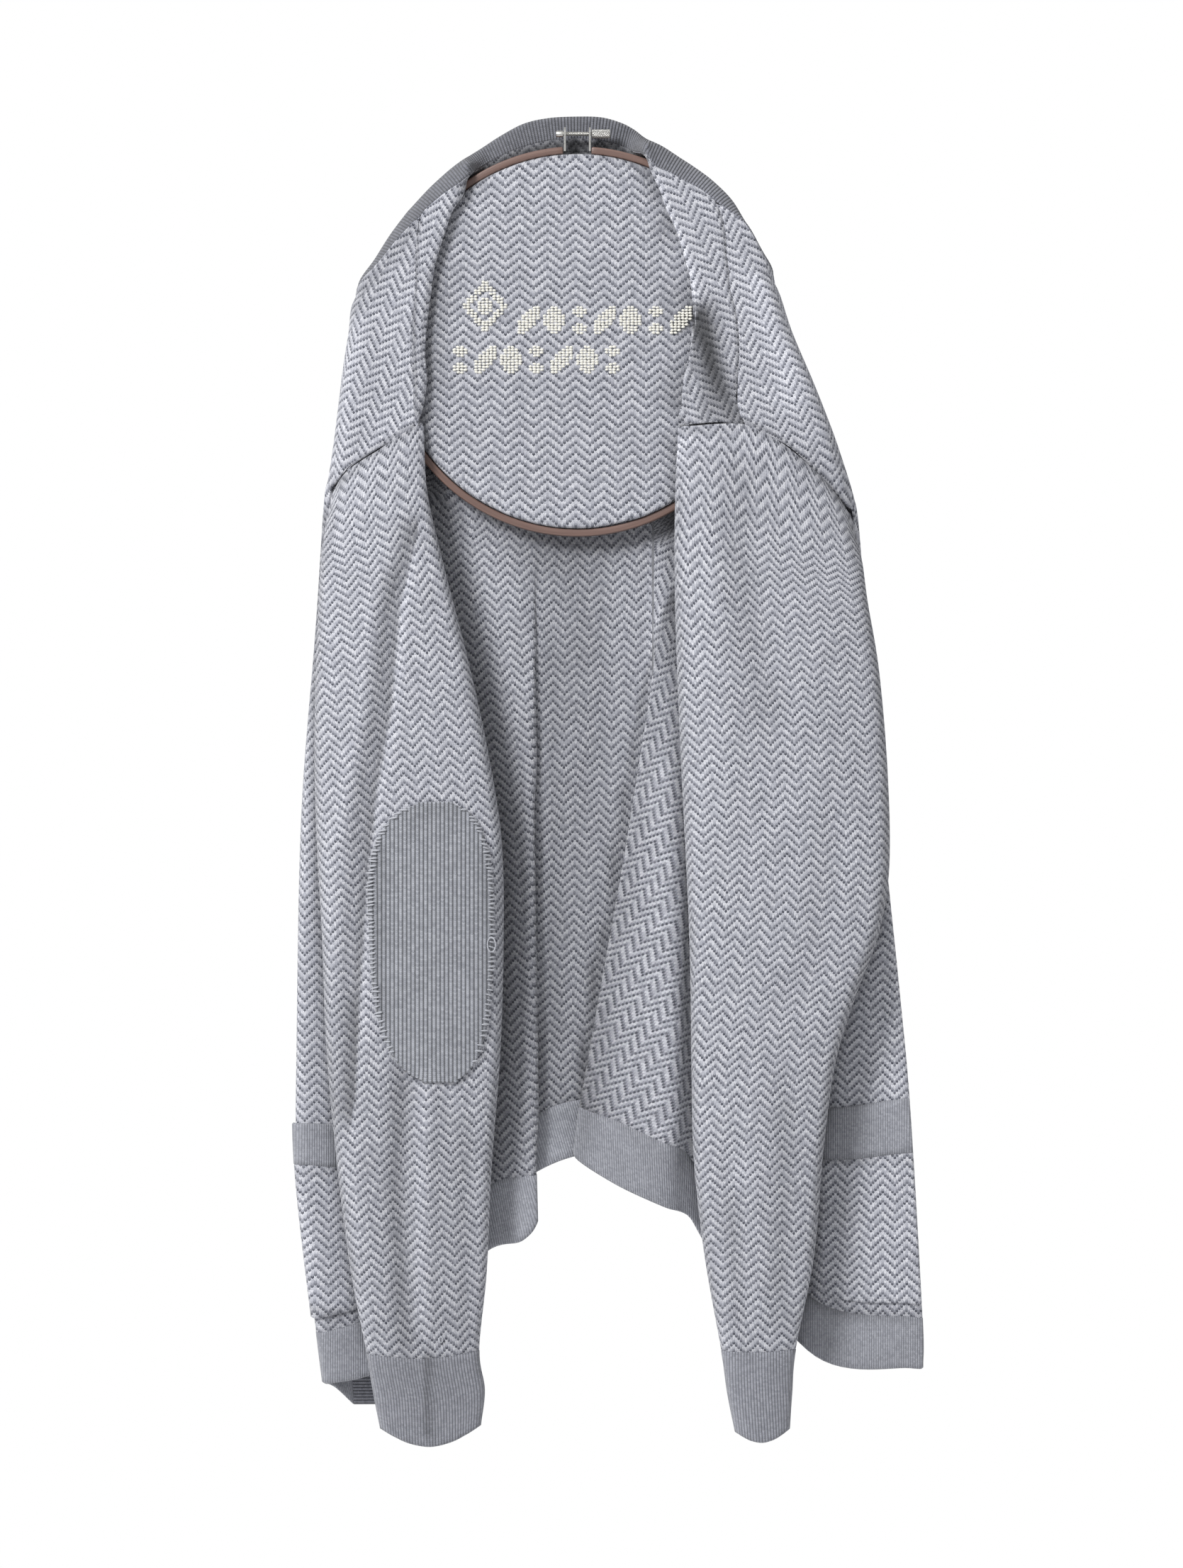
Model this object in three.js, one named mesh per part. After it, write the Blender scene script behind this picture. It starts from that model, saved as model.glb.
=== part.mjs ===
// A herringbone wool cardigan, darned at one elbow, hung by the wooden hoop that grips its upper back.
// Millimetres, +Z up. The viewer stands on the -Y side and sees the outside of the back.
// The origin is the middle of the hoop's tension screw, where the whole thing hangs.
// "left" and "right" are the viewer's.

import * as THREE from 'three';

// ---------------------------------------------------------------- driving dimensions

const KNIT = 1.8; // wall of the herringbone knit
const RIB = 2.2; // wall of the ribbed trims
const SEAM_TRIM = 0.45; // each piece stops this far short of its seam line
const PATCH_LIFT = 2.3; // middle of a sewn-on piece above the middle of the cloth under it

const HOOP_CENTRE = -136.5;
const HOOP_OUTER = 128;
const HOOP_WIDTH = 4.8;
const INNER_RING_OUTER = 120.4;
const INNER_RING_WIDTH = 4.4;
const HOOP_DEPTH = 10;
const HOOP_STEPS = 96;
const HOOP_GAP_HALF_ANGLE = 4.25; // degrees either side of the top

const DISC_Y = -6.7; // cloth stretched over the inner ring's front
const GRIP_RADIUS = 121.8; // cloth between the two rings
const BEHIND_Y = 8.2; // cloth behind the outer ring
const BEHIND_RADIUS = 125;

const SCREW_RADIUS = 1.6;
const SCREW_LEFT = -14;
const SCREW_RIGHT = 20.6;
const EAR_X = 8.2; // middle of each bracket's ear, either side of the origin
const EAR_THICK = 1.2;
const EAR_TOP = 4.4;
const EAR_FOOT = -11.6;
const EAR_DEPTH = 8;
const EAR_HOLE = 2.1;
const NUT_LEFT = 9.2;
const NUT_RIGHT = 21.6;
const NUT_RADIUS = 2.95;
const NUT_BORE = 1.95;

const HEM_STEPS = 2;
const TURNING_STEPS = 24;

// ---------------------------------------------------------------- small helpers

const point = (x, y, z) => new THREE.Vector3(x, y, z);
const lerp = (a, b, t) => a + (b - a) * t;
const mix = (a, b, t) => a.clone().lerp(b, t);
const radians = THREE.MathUtils.degToRad;

// A point by its angle round the hoop, its distance from the hoop's middle and its depth.
function aroundHoop(degrees, radius, y) {
  const angle = radians(degrees);
  return point(radius * Math.cos(angle), y, HOOP_CENTRE + radius * Math.sin(angle));
}

// Even steps from one number to another, both ends included.
function steps(from, to, count) {
  return Array.from({ length: count + 1 }, (_, i) => lerp(from, to, i / count));
}

// The value at x of a smooth curve through hand-placed [x, value] pairs.
function curveAt(pairs, x) {
  const ascending = pairs[0][0] < pairs.at(-1)[0] ? pairs : [...pairs].reverse();
  if (x <= ascending[0][0]) return ascending[0][1];
  if (x >= ascending.at(-1)[0]) return ascending.at(-1)[1];
  const next = ascending.findIndex((pair) => pair[0] > x);
  const [x0, v0] = ascending[next - 1];
  const [x1, v1] = ascending[next];
  const t = (x - x0) / (x1 - x0);
  return lerp(v0, v1, t * t * (3 - 2 * t) * 0.4 + t * 0.6);
}

// Catmull-Rom blend of four points.
function smoothBlend(a, b, c, d, t) {
  const t2 = t * t;
  const t3 = t2 * t;
  return point(0, 0, 0)
    .addScaledVector(a, (-t3 + 2 * t2 - t) / 2)
    .addScaledVector(b, (3 * t3 - 5 * t2 + 2) / 2)
    .addScaledVector(c, (-3 * t3 + 4 * t2 + t) / 2)
    .addScaledVector(d, (t3 - t2) / 2);
}

function smoothAt(points, position, closed) {
  const last = points.length - 1;
  const pick = (i) => {
    if (closed) return points[((i % points.length) + points.length) % points.length];
    if (i < 0) return points[0].clone().multiplyScalar(2).sub(points[1]);
    if (i > last) return points[last].clone().multiplyScalar(2).sub(points[last - 1]);
    return points[i];
  };
  const start = closed ? Math.floor(position) : Math.min(Math.max(Math.floor(position), 0), last - 1);
  return smoothBlend(pick(start - 1), pick(start), pick(start + 1), pick(start + 2), position - start);
}

// A smooth cloth surface through sections of hand-placed points: sections[row][column].
class Cloth {
  constructor(sections, closed = false) {
    this.sections = sections;
    this.closed = closed;
    this.lastRow = sections.length - 1;
    this.columns = sections[0].length;
  }

  at(column, row) {
    const line = this.sections.map((section) => smoothAt(section, column, this.closed));
    return smoothAt(line, row, false);
  }

  normal(column, row) {
    const reach = 0.04;
    const lastColumn = this.columns - 1;
    const c0 = this.closed ? column - reach : Math.max(column - reach, 0);
    const c1 = this.closed ? column + reach : Math.min(column + reach, lastColumn);
    const r0 = Math.max(row - reach, 0);
    const r1 = Math.min(row + reach, this.lastRow);
    const across = this.at(c1, row).sub(this.at(c0, row));
    const along = this.at(column, r1).sub(this.at(column, r0));
    return across.cross(along).normalize();
  }
}

// Moves the outermost line of points in from the seam by the trim.
function trimEdge(edge, inner, trim) {
  edge.forEach((p, i) => {
    const direction = inner[i].clone().sub(p);
    p.addScaledVector(direction, trim / Math.max(direction.length(), trim));
  });
}

// A closed wall of cloth over part of a surface. side is +1 where across x along points outwards.
function clothWall(cloth, columns, rows, options) {
  const { thick, side, lift = 0, closed = false, trim = [0, 0, 0, 0], shape = null, pole = null } = options;
  const place = shape ?? ((column, row) => [column, row]);
  const middle = rows.map((row) => columns.map((column) => cloth.at(...place(column, row))));
  const normals = rows.map((row) =>
    columns.map((column) => cloth.normal(...place(column, row)).multiplyScalar(side)));
  if (pole) normals[0].fill(pole);
  const [top, bottom, first, last] = trim;
  if (top) trimEdge(middle[0], middle[1], top);
  if (bottom) trimEdge(middle.at(-1), middle.at(-2), bottom);
  if (first) middle.forEach((line) => trimEdge([line[0]], [line[1]], first));
  if (last) middle.forEach((line) => trimEdge([line.at(-1)], [line.at(-2)], last));
  const face = (offset) => middle.map((line, r) =>
    line.map((p, c) => p.clone().addScaledVector(normals[r][c], lift + offset)));
  return closedSheet(face(thick / 2), face(-thick / 2), closed);
}

// Joins an outer and an inner face of matching rows into one closed mesh.
function closedSheet(outer, inner, closed) {
  const positions = [];
  const numbers = new Map();
  const triangles = [];
  const number = (p) => {
    const key = [p.x, p.y, p.z].map((v) => Math.round(v * 1e4)).join();
    if (!numbers.has(key)) {
      numbers.set(key, positions.length / 3);
      positions.push(p.x, p.y, p.z);
    }
    return numbers.get(key);
  };
  const triangle = (a, b, c) => {
    const corners = [number(a), number(b), number(c)];
    if (new Set(corners).size === 3) triangles.push(...corners);
  };
  const quad = (a, b, c, d) => {
    triangle(a, b, c);
    triangle(a, c, d);
  };
  const rows = outer.length;
  const count = outer[0].length;
  const across = closed ? count : count - 1;
  for (let r = 0; r < rows - 1; r += 1) {
    for (let c = 0; c < across; c += 1) {
      const n = (c + 1) % count;
      quad(outer[r][c], outer[r][n], outer[r + 1][n], outer[r + 1][c]);
      quad(inner[r + 1][c], inner[r + 1][n], inner[r][n], inner[r][c]);
    }
  }
  for (let c = 0; c < across; c += 1) {
    const n = (c + 1) % count;
    quad(outer[0][n], outer[0][c], inner[0][c], inner[0][n]);
    quad(outer[rows - 1][c], outer[rows - 1][n], inner[rows - 1][n], inner[rows - 1][c]);
  }
  if (!closed) {
    for (let r = 0; r < rows - 1; r += 1) {
      quad(outer[r][0], outer[r + 1][0], inner[r + 1][0], inner[r][0]);
      quad(outer[r + 1][count - 1], outer[r][count - 1], inner[r][count - 1], inner[r + 1][count - 1]);
    }
  }
  return solidGeometry(positions, triangles);
}

// An indexed geometry whose faces point out.
function solidGeometry(positions, triangles) {
  const corner = (i) => point(positions[3 * i], positions[3 * i + 1], positions[3 * i + 2]);
  let volume = 0;
  for (let i = 0; i < triangles.length; i += 3) {
    const [a, b, c] = triangles.slice(i, i + 3).map(corner);
    volume += a.dot(b.cross(c)) / 6;
  }
  const facing = [...triangles];
  if (volume < 0) facing.reverse();
  const geometry = new THREE.BufferGeometry();
  geometry.setAttribute('position', new THREE.Float32BufferAttribute(positions, 3));
  geometry.setIndex(facing);
  geometry.computeVertexNormals();
  return geometry;
}

// ---------------------------------------------------------------- armholes

// Seam line of each armhole: from the fold edge, along the front half to the underarm,
// and back along the hidden half. Sixteen points, the ninth of them the underarm.
const LEFT_ARMHOLE = [
  [-101.5, -12, -192], [-106, -15.6, -192.5], [-112, -16.4, -196], [-120, -16.6, -201],
  [-130, -16, -208], [-140, -14.2, -214], [-150, -11, -221], [-157, -5, -230],
  [-161, 3, -239], [-157, 3.4, -238], [-150, 1, -234], [-142, -1.5, -228],
  [-134, -5, -222], [-124, -7.5, -216], [-114, -10, -209], [-106, -11.8, -200],
].map((p) => point(...p));

const RIGHT_ARMHOLE = [
  [67, -13, -193], [78, -16.6, -192], [92, -18, -191], [109, -17.4, -191],
  [124, -17.6, -197], [140, -17, -208], [158, -14.6, -224], [173, -9, -242],
  [181, 2, -257], [172, 3, -252], [160, 1, -245], [146, -2, -237],
  [130, -8, -228], [112, -12, -218], [94, -12.8, -208], [78, -13, -199],
].map((p) => point(...p));

// The panels' side of an armhole seam is raised and set back, the sleeve's side lowered and
// brought forward, most of all at the underarm, where the sleeve hangs in front of both panels.
const UNDERARM_LAP = [0, 0, 0, 0, 0, 0, 0.2, 0.6, 1, 1, 1, 0.9, 0.75, 0.6, 0.5, 0.35];
const HALF_LAP = 1.7;
const HALF_RISE = 0.75;
const armholeSide = (points, up) => points.map((p, i) =>
  point(p.x, p.y + up * HALF_LAP * UNDERARM_LAP[i], p.z + up * HALF_RISE));
const LEFT_PANEL_EDGE = armholeSide(LEFT_ARMHOLE, 1);
const RIGHT_PANEL_EDGE = armholeSide(RIGHT_ARMHOLE, 1);

// ---------------------------------------------------------------- back panel

// Distance from the hoop's middle, at an angle round the hoop, of the shoulder's fold edge,
// of the seam beyond it, and of the seam's depth.
const LEFT_FOLD = [
  [126, 123], [134, 118.5], [142, 112], [150, 107], [165, 100.5], [180, 100], [195, 103], [206, 113],
];
const LEFT_SEAM = [
  [126, 128.5], [134, 130], [142, 131], [148, 123.8], [160, 112], [173, 107.8], [190, 109.5], [206, 117.5],
];
const RIGHT_FOLD = [[66, 121], [56, 105], [45, 95.5], [35, 89], [19, 82], [3, 77.5], [-13, 76], [-27, 80]];
const RIGHT_SEAM = [
  [66, 125.2], [56, 125.6], [46, 129], [40, 124], [30, 113],
  [19, 105.8], [-2, 106], [-14, 108.5], [-22, 114], [-27, 121.5],
];

const FRONT_Y = -15; // shoulder cloth in front of the hoop
const UNDER_Y = -9.8; // layer folded under it
const TURN_RADIUS = 130.6; // cloth wrapped round the outer ring

const FOLD_ROUND = 3; // how far a fold's two layers are from its edge
const OVER_THE_RING = [
  [TURN_RADIUS - 2, BEHIND_Y], [TURN_RADIUS, 5], [TURN_RADIUS, -4], [TURN_RADIUS - 2, -9],
];
const NECK_SWING = 130; // how far out a column swings on its way to the neck or to an armhole
const SIDE_SWING = 137;

// The eight steps of a column that wraps round the ring and folds back out over it.
function foldedColumn(degrees, fold, seam) {
  return [
    ...OVER_THE_RING, [fold + FOLD_ROUND, UNDER_Y],
    [fold, (UNDER_Y + FRONT_Y) / 2], [fold + FOLD_ROUND, FRONT_Y], [seam, FRONT_Y],
  ].map(([radius, y]) => aroundHoop(degrees, radius, y));
}

// A column that leaves the ring and reaches its seam with no fold in it.
function plainColumn(degrees, end, swing) {
  const start = aroundHoop(degrees, BEHIND_RADIUS, BEHIND_Y);
  const control = aroundHoop(degrees, swing, BEHIND_Y + 0.6);
  return steps(0.125, 1, 7).map((t) => mix(mix(start, control, t), mix(control, end, t), t));
}

// Eight steps of columns that wrap part of the way round the ring: [radius, depth] at each step.
const WRAP_BEHIND = [
  [TURN_RADIUS - 2, 8.2], [TURN_RADIUS - 0.8, 6.5], [TURN_RADIUS, 5.2], [TURN_RADIUS + 0.2, 4.5],
  [TURN_RADIUS + 0.3, 3.8], [TURN_RADIUS + 0.4, 3.2], [TURN_RADIUS + 0.5, 2.6], [TURN_RADIUS + 0.6, 2],
];
const WRAP_BESIDE = [
  [TURN_RADIUS - 2, 8.2], [TURN_RADIUS - 0.2, 5.6], [TURN_RADIUS, 1], [TURN_RADIUS + 0.1, -1.5],
  [TURN_RADIUS + 0.2, -3], [TURN_RADIUS + 0.3, -4.5], [TURN_RADIUS + 0.3, -6], [TURN_RADIUS + 0.4, -7.2],
];
const WRAP_BEFORE = [
  [TURN_RADIUS - 2, 8.2], [TURN_RADIUS, 5], [TURN_RADIUS, -4], [TURN_RADIUS - 1, -8],
  [TURN_RADIUS - 1.8, -9.6], [TURN_RADIUS - 2.2, -11], [TURN_RADIUS - 1.8, -12.5], [TURN_RADIUS - 1.2, -13.5],
];

// A column of the lower back: a straight fall from the ring to the hem seam.
const DROP_STEPS = [0.06, 0.15, 0.27, 0.41, 0.55, 0.7, 0.85, 1];
function hangingColumn(degrees, end, bow = 0) {
  const start = aroundHoop(degrees, BEHIND_RADIUS, BEHIND_Y);
  return DROP_STEPS.map((t) => {
    const p = mix(start, end, t);
    p.x += bow * Math.sin(Math.PI * Math.sqrt(t));
    p.y = lerp(start.y + 1, end.y, t ** 0.7);
    return p;
  });
}

// Hem seam of the back, left side seam to right side seam: angle on the ring, the hem seam's
// point, the hem's lower edge, and how far the column bows sideways.
const BACK_HEM = [
  { ring: 238, seam: [-95, 10, -735], edge: [-97, 11, -774], bow: 0 },
  { ring: 246, seam: [-58, 5, -692], edge: [-60, 5, -734], bow: 0 },
  { ring: 252, seam: [-36, -1, -685], edge: [-36, -2, -726], bow: 0 },
  { ring: 256, seam: [-28, 1, -682], edge: [-27, 0, -712], bow: 0 },
  { ring: 259, seam: [-46, 11, -662], edge: [-44, 11, -696], bow: 0 },
  { ring: 265, seam: [-20, 10, -641], edge: [-20, 10, -678], bow: 0 },
  { ring: 275, seam: [10, 10, -634], edge: [10, 10, -669], bow: 0 },
  { ring: 288, seam: [45, 12, -634], edge: [45, 12, -669], bow: 0 },
  { ring: 293, seam: [52, 7, -636], edge: [52, 7, -670], bow: 0 },
  { ring: 296, seam: [24, 1, -638], edge: [22, 1, -670], bow: 4 },
  { ring: 299, seam: [2, -5, -639], edge: [-2, -5, -670], bow: 7 },
  { ring: 302, seam: [26, -9, -648], edge: [24, -9, -688], bow: 6 },
  { ring: 305.5, seam: [56, -10, -662], edge: [56, -10, -703], bow: 4 },
  { ring: 308.5, seam: [71, -2, -669], edge: [72, -2, -709], bow: 2 },
  { ring: 311, seam: [92, 8, -688], edge: [94, 8, -727], bow: 0 },
];
const seamPoint = (column) => point(...column.seam);
const edgePoint = (column) => point(...column.edge);
const LEFT_HEM_CORNER = seamPoint(BACK_HEM[0]);
const RIGHT_HEM_CORNER = seamPoint(BACK_HEM.at(-1));

// Every column outside the ring, clockwise from the nape as the viewer sees it.
function backColumns() {
  const columns = [];
  const add = (degrees, path) => columns.push({ degrees, path });
  const neck = (degrees, radius, y) => {
    add(degrees, plainColumn(degrees, aroundHoop(degrees, radius, y), NECK_SWING));
  };
  const wrapped = (degrees, wrap) => {
    const path = wrap.map(([radius, y]) => aroundHoop(degrees, radius, y));
    columns.push({ degrees, path, wraps: wrap !== WRAP_BEFORE });
  };
  const folded = (degrees, folds, seams) => {
    add(degrees, foldedColumn(degrees, curveAt(folds, degrees), curveAt(seams, degrees)));
  };
  neck(90, 134.5, 10);
  neck(84, 133.8, 10);
  neck(79, 133, 9.6);
  neck(75.5, 132, 8.6);
  wrapped(72.5, WRAP_BEHIND);
  wrapped(70.7, WRAP_BESIDE);
  wrapped(69, WRAP_BEFORE);
  [66, 61, 56, 50, 44, 37, 30, 24, 19, 11, 3, -5.5, -14].forEach((a) => folded(a, RIGHT_FOLD, RIGHT_SEAM));
  const hang = (a, end) => add(a, plainColumn(a, end, SIDE_SWING));
  add(-20, endAt(foldedColumn(-20, 77, 112), point(104, FRONT_Y - 1, -176)));
  add(-27, endAt(foldedColumn(-27, 80, 120), RIGHT_PANEL_EDGE[3]));
  add(-32, endAt(foldedColumn(-32, 83, 104), RIGHT_PANEL_EDGE[2]));
  add(-36, endAt(foldedColumn(-36, 86, 94), RIGHT_PANEL_EDGE[1]));
  add(-38.5, underColumn(-38.5, RIGHT_PANEL_EDGE[0]));
  add(-40, underColumn(-40, RIGHT_PANEL_EDGE[15]));
  add(-41.5, underColumn(-41.5, RIGHT_PANEL_EDGE[14]));
  hang(-42.7, RIGHT_PANEL_EDGE[12]);
  hang(-43.8, RIGHT_PANEL_EDGE[10]);
  hang(-45, RIGHT_PANEL_EDGE[8]);
  [[-45.9, 0.2], [-46.8, 0.45], [-47.9, 0.72]].forEach(([a, t]) => {
    add(a, hangingColumn(a, mix(RIGHT_PANEL_EDGE[8], RIGHT_HEM_CORNER, t)));
  });
  [...BACK_HEM].reverse().forEach((column) => {
    add(column.ring - 360, hangingColumn(column.ring, seamPoint(column), column.bow));
  });
  [[-123.6, 0.72], [-125, 0.45], [-126.4, 0.2]].forEach(([a, t]) => {
    add(a, hangingColumn(a, mix(LEFT_PANEL_EDGE[8], LEFT_HEM_CORNER, t)));
  });
  hang(-128.5, LEFT_PANEL_EDGE[8]);
  hang(-133, LEFT_PANEL_EDGE[10]);
  hang(-138.5, LEFT_PANEL_EDGE[12]);
  hang(-144, LEFT_PANEL_EDGE[14]);
  add(-149, underColumn(-149, LEFT_PANEL_EDGE[15]));
  add(-152, underColumn(-152, LEFT_PANEL_EDGE[0]));
  add(-156, endAt(foldedColumn(-156, 112, 117), LEFT_PANEL_EDGE[1]));
  [195, 186, 177, 168, 160, 153, 147, 141, 134, 128].forEach((a) => folded(a, LEFT_FOLD, LEFT_SEAM));
  wrapped(124.5, WRAP_BEFORE);
  wrapped(122, WRAP_BESIDE);
  wrapped(120, WRAP_BEHIND);
  neck(116, 132, 8.6);
  neck(110, 133, 9.6);
  neck(103.5, 133.8, 10);
  neck(97, 134.3, 10);
  return columns;
}

// Replaces the last step of a column, and eases the step before it towards that end.
function endAt(path, end) {
  const eased = [...path];
  const last = path.length - 1;
  eased[last] = end.clone();
  eased[last - 1] = mix(path[last - 1], mix(path[last - 2], end, 0.35), 0.6);
  eased[last - 1].y = path[last - 1].y;
  return eased;
}

// A column that wraps round the ring and ends on the under layer.
function underColumn(degrees, end) {
  const wrap = OVER_THE_RING.map(([radius, y]) => aroundHoop(degrees, radius, y));
  const start = wrap.at(-1);
  return [...wrap, ...steps(0.25, 1, 3).map((t) => {
    const p = mix(start, end, t);
    p.y = lerp(start.y, end.y, t ** 2);
    return p;
  })];
}

function backCloth() {
  const columns = backColumns();
  const ringSteps = [
    [0, DISC_Y - 0.5], [100, DISC_Y], [118.8, DISC_Y], [GRIP_RADIUS - 0.2, DISC_Y + 0.9],
    [GRIP_RADIUS, DISC_Y + 3.4], [GRIP_RADIUS, 5.2], [BEHIND_RADIUS, BEHIND_Y + 0.4],
  ];
  const inner = ringSteps.map(([radius, y]) => columns.map(({ degrees }) => aroundHoop(degrees, radius, y)));
  const outer = DROP_STEPS.map((_, step) => columns.map(({ path }) => path[step]));
  return new Cloth([...inner, ...outer], true);
}

// ---------------------------------------------------------------- front panels

// Six points of one row of a front: its inner seam, the cloth out to the turn, the outline,
// and the part wrapped behind, which ends at the band's seam. turn is +1 on the left, -1 on the right.
function frontRow(inner, outline, edge, frontY, turn, droop = 0, behindIn = 7) {
  const browIn = Math.min(6, 0.4 * Math.abs(outline.x - inner.x));
  const brow = point(outline.x + browIn * turn, frontY, outline.z);
  const middle = mix(inner, brow, 0.5);
  middle.z -= droop;
  const behind = point(outline.x + behindIn * turn, edge.y - 1.5, mix(outline, edge, 0.3).z);
  return [inner, middle, brow, outline, behind, edge];
}

// A row near the neck, where the band's seam is still in front or just at the turn.
function neckRow(inner, edge) {
  const turn = point(lerp(inner.x, edge.x, 0.97), FRONT_Y, lerp(inner.z, edge.z, 0.97));
  return steps(0, 1, 5).map((t) => mix(mix(inner, turn, t), mix(turn, edge, t), t));
}

const leftShoulder = (degrees) => aroundHoop(degrees, curveAt(LEFT_SEAM, degrees), FRONT_Y);
const rightShoulder = (degrees) => aroundHoop(degrees, curveAt(RIGHT_SEAM, degrees), FRONT_Y);
const leftSide = (t) => mix(LEFT_PANEL_EDGE[8], LEFT_HEM_CORNER, t);
const rightSide = (t) => mix(RIGHT_PANEL_EDGE[8], RIGHT_HEM_CORNER, t);

const LEFT_FRONT_ROWS = [
  neckRow(leftShoulder(142), point(-105.5, FRONT_Y, -58)),
  neckRow(leftShoulder(147), point(-117, -14, -70)),
  neckRow(leftShoulder(153), point(-128.5, -10.5, -84)),
  neckRow(leftShoulder(160), point(-142.5, -2, -99)),
  frontRow(leftShoulder(168), point(-147, 1.5, -112), point(-144, 11.5, -112.5), -11, 1, 0, 1.4),
  frontRow(leftShoulder(177), point(-149.5, 1, -131), point(-131, 17, -135), -12, 1),
  frontRow(leftShoulder(190), point(-153.5, 1, -157), point(-124, 19, -163), -12.5, 1),
  frontRow(LEFT_PANEL_EDGE[1], point(-158, 1, -194), point(-116, 20, -204), -12.5, 1),
  frontRow(LEFT_PANEL_EDGE[4], point(-160.5, 1.5, -212), point(-112, 20, -226), -10, 1),
  frontRow(LEFT_PANEL_EDGE[6], point(-163, 4, -227), point(-110, 20, -247), -5, 1),
  frontRow(LEFT_PANEL_EDGE[8], point(-166, 10, -244), point(-110, 20, -264), 6, 1),
  frontRow(leftSide(0.2), point(-172, 12, -330), point(-114, 21, -345), 7, 1),
  frontRow(leftSide(0.45), point(-181, 12, -450), point(-120, 22, -460), 5, 1),
  frontRow(leftSide(0.72), point(-184, 11, -600), point(-130, 23, -606), 3, 1),
  frontRow(leftSide(0.86), point(-183, 10, -680), point(-138, 24, -690), 2, 1, 8),
  frontRow(LEFT_HEM_CORNER, point(-171, 10, -787), point(-148, 24, -800), 2, 1, 13),
  frontRow(edgePoint(BACK_HEM[0]), point(-167, 10, -820), point(-148, 24, -836), 2, 1, 14),
];

const RIGHT_FRONT_ROWS = [
  neckRow(rightShoulder(44), point(95.5, FRONT_Y, -49)),
  neckRow(rightShoulder(37), point(109.5, -14.5, -60)),
  neckRow(rightShoulder(30), point(120, -9.5, -77.5)),
  neckRow(rightShoulder(24), point(127.2, -1.5, -91)),
  frontRow(rightShoulder(19), point(131.4, -0.5, -104), point(129, 12, -104.5), -14, -1, 0, 1.2),
  frontRow(rightShoulder(3), point(140.5, 0, -131), point(121, 17, -135), -13, -1),
  frontRow(rightShoulder(-14), point(154, 0, -163), point(121, 19, -170), -14, -1),
  frontRow(RIGHT_PANEL_EDGE[3], point(165, 0, -191), point(122, 20, -201), -14, -1),
  frontRow(RIGHT_PANEL_EDGE[5], point(171.5, 0, -209), point(124, 20, -224), -12, -1),
  frontRow(RIGHT_PANEL_EDGE[7], point(180.5, 3, -238), point(127, 20, -255), -3, -1),
  frontRow(RIGHT_PANEL_EDGE[8], point(184.5, 10, -261), point(130, 20, -278), 6, -1),
  frontRow(rightSide(0.2), point(191, 12, -343), point(140, 21, -352), 7, -1),
  frontRow(rightSide(0.45), point(200, 12, -451), point(152, 22, -458), 5, -1),
  frontRow(rightSide(0.72), point(211, 10, -565), point(176, 23, -570), 4, -1),
  frontRow(rightSide(0.88), point(217.5, 8, -645), point(190, 24, -652), 2, -1, 10),
  frontRow(RIGHT_HEM_CORNER, point(224.6, 7, -777), point(200, 24, -788), 1, -1, 33),
  frontRow(edgePoint(BACK_HEM.at(-1)), point(225, 7, -810), point(200, 24, -824), 1, -1, 34),
];
const HEM_ROW = 15;

// ---------------------------------------------------------------- neckband and front bands

const BAND_OUTLINE = [
  [165, 147], [157, 143.6], [148, 141], [138, 139.7], [127, 140.4], [114, 143.7], [105, 149], [98, 149.7],
  [90, 149.5], [85, 150], [78, 148], [70, 140.5], [59, 137.8], [49, 138], [43, 137.7], [34, 135], [25, 134.4],
];
const BAND_WIDTH = 31;
const BAND_CLEAR = TURN_RADIUS + 2.6; // outside the back where it wraps round the ring
const FIRST_NECK_ANGLE = 142; // the neck seam's ends, at the shoulder seams
const LAST_NECK_ANGLE = 45;

const BAND_LEAN = 0.35; // how soon the band leaves the depth of its seam
const WRAPPED_BAND_LEAN = -0.25;
const CURLED_ROWS = 4; // rows of a front, from the shoulder, whose band is curled over

// The band curled over at the neck, from its seam round the outline to its free edge behind.
function curledBand(seam, lean = BAND_LEAN) {
  const degrees = THREE.MathUtils.radToDeg(Math.atan2(seam.z - HOOP_CENTRE, seam.x));
  const seamRadius = Math.hypot(seam.x, seam.z - HOOP_CENTRE);
  const outline = Math.max(curveAt(BAND_OUTLINE, degrees) - RIB / 2, seamRadius + 0.6, BAND_CLEAR);
  const crestY = -3 + (seam.y - FRONT_Y) * 0.72;
  return [
    seam,
    aroundHoop(degrees, lerp(seamRadius, outline, 0.55), lerp(seam.y, crestY, lean)),
    aroundHoop(degrees, outline, crestY),
    aroundHoop(degrees, Math.max(outline - 1.5, BAND_CLEAR), crestY + 8),
    aroundHoop(degrees, outline - 6, Math.max(crestY + 13, 14.5)),
    aroundHoop(degrees, outline - 15, Math.max(crestY + 15, 17)),
  ];
}

// The band hanging flat behind, from the front's edge towards the middle.
function hangingBand(edge, turn) {
  return steps(0, 1, 5).map((t) => point(edge.x + turn * BAND_WIDTH * t, edge.y + 1.5 * t, edge.z));
}

// The band half way between curled over and hanging flat.
function turningBand(edge, turn) {
  const curled = curledBand(edge);
  return hangingBand(edge, turn).map((p, i) => mix(curled[i], p, 0.5));
}

// The back's columns that end at the neck seam, left to right.
function neckEdge() {
  const columns = backColumns();
  const firstShoulder = columns.findIndex(({ degrees }) => degrees < LAST_NECK_ANGLE);
  const lastShoulder = columns.findLastIndex(({ degrees }) => degrees > FIRST_NECK_ANGLE || degrees < 0);
  return [...columns.slice(lastShoulder + 1), ...columns.slice(0, firstShoulder)];
}

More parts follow.
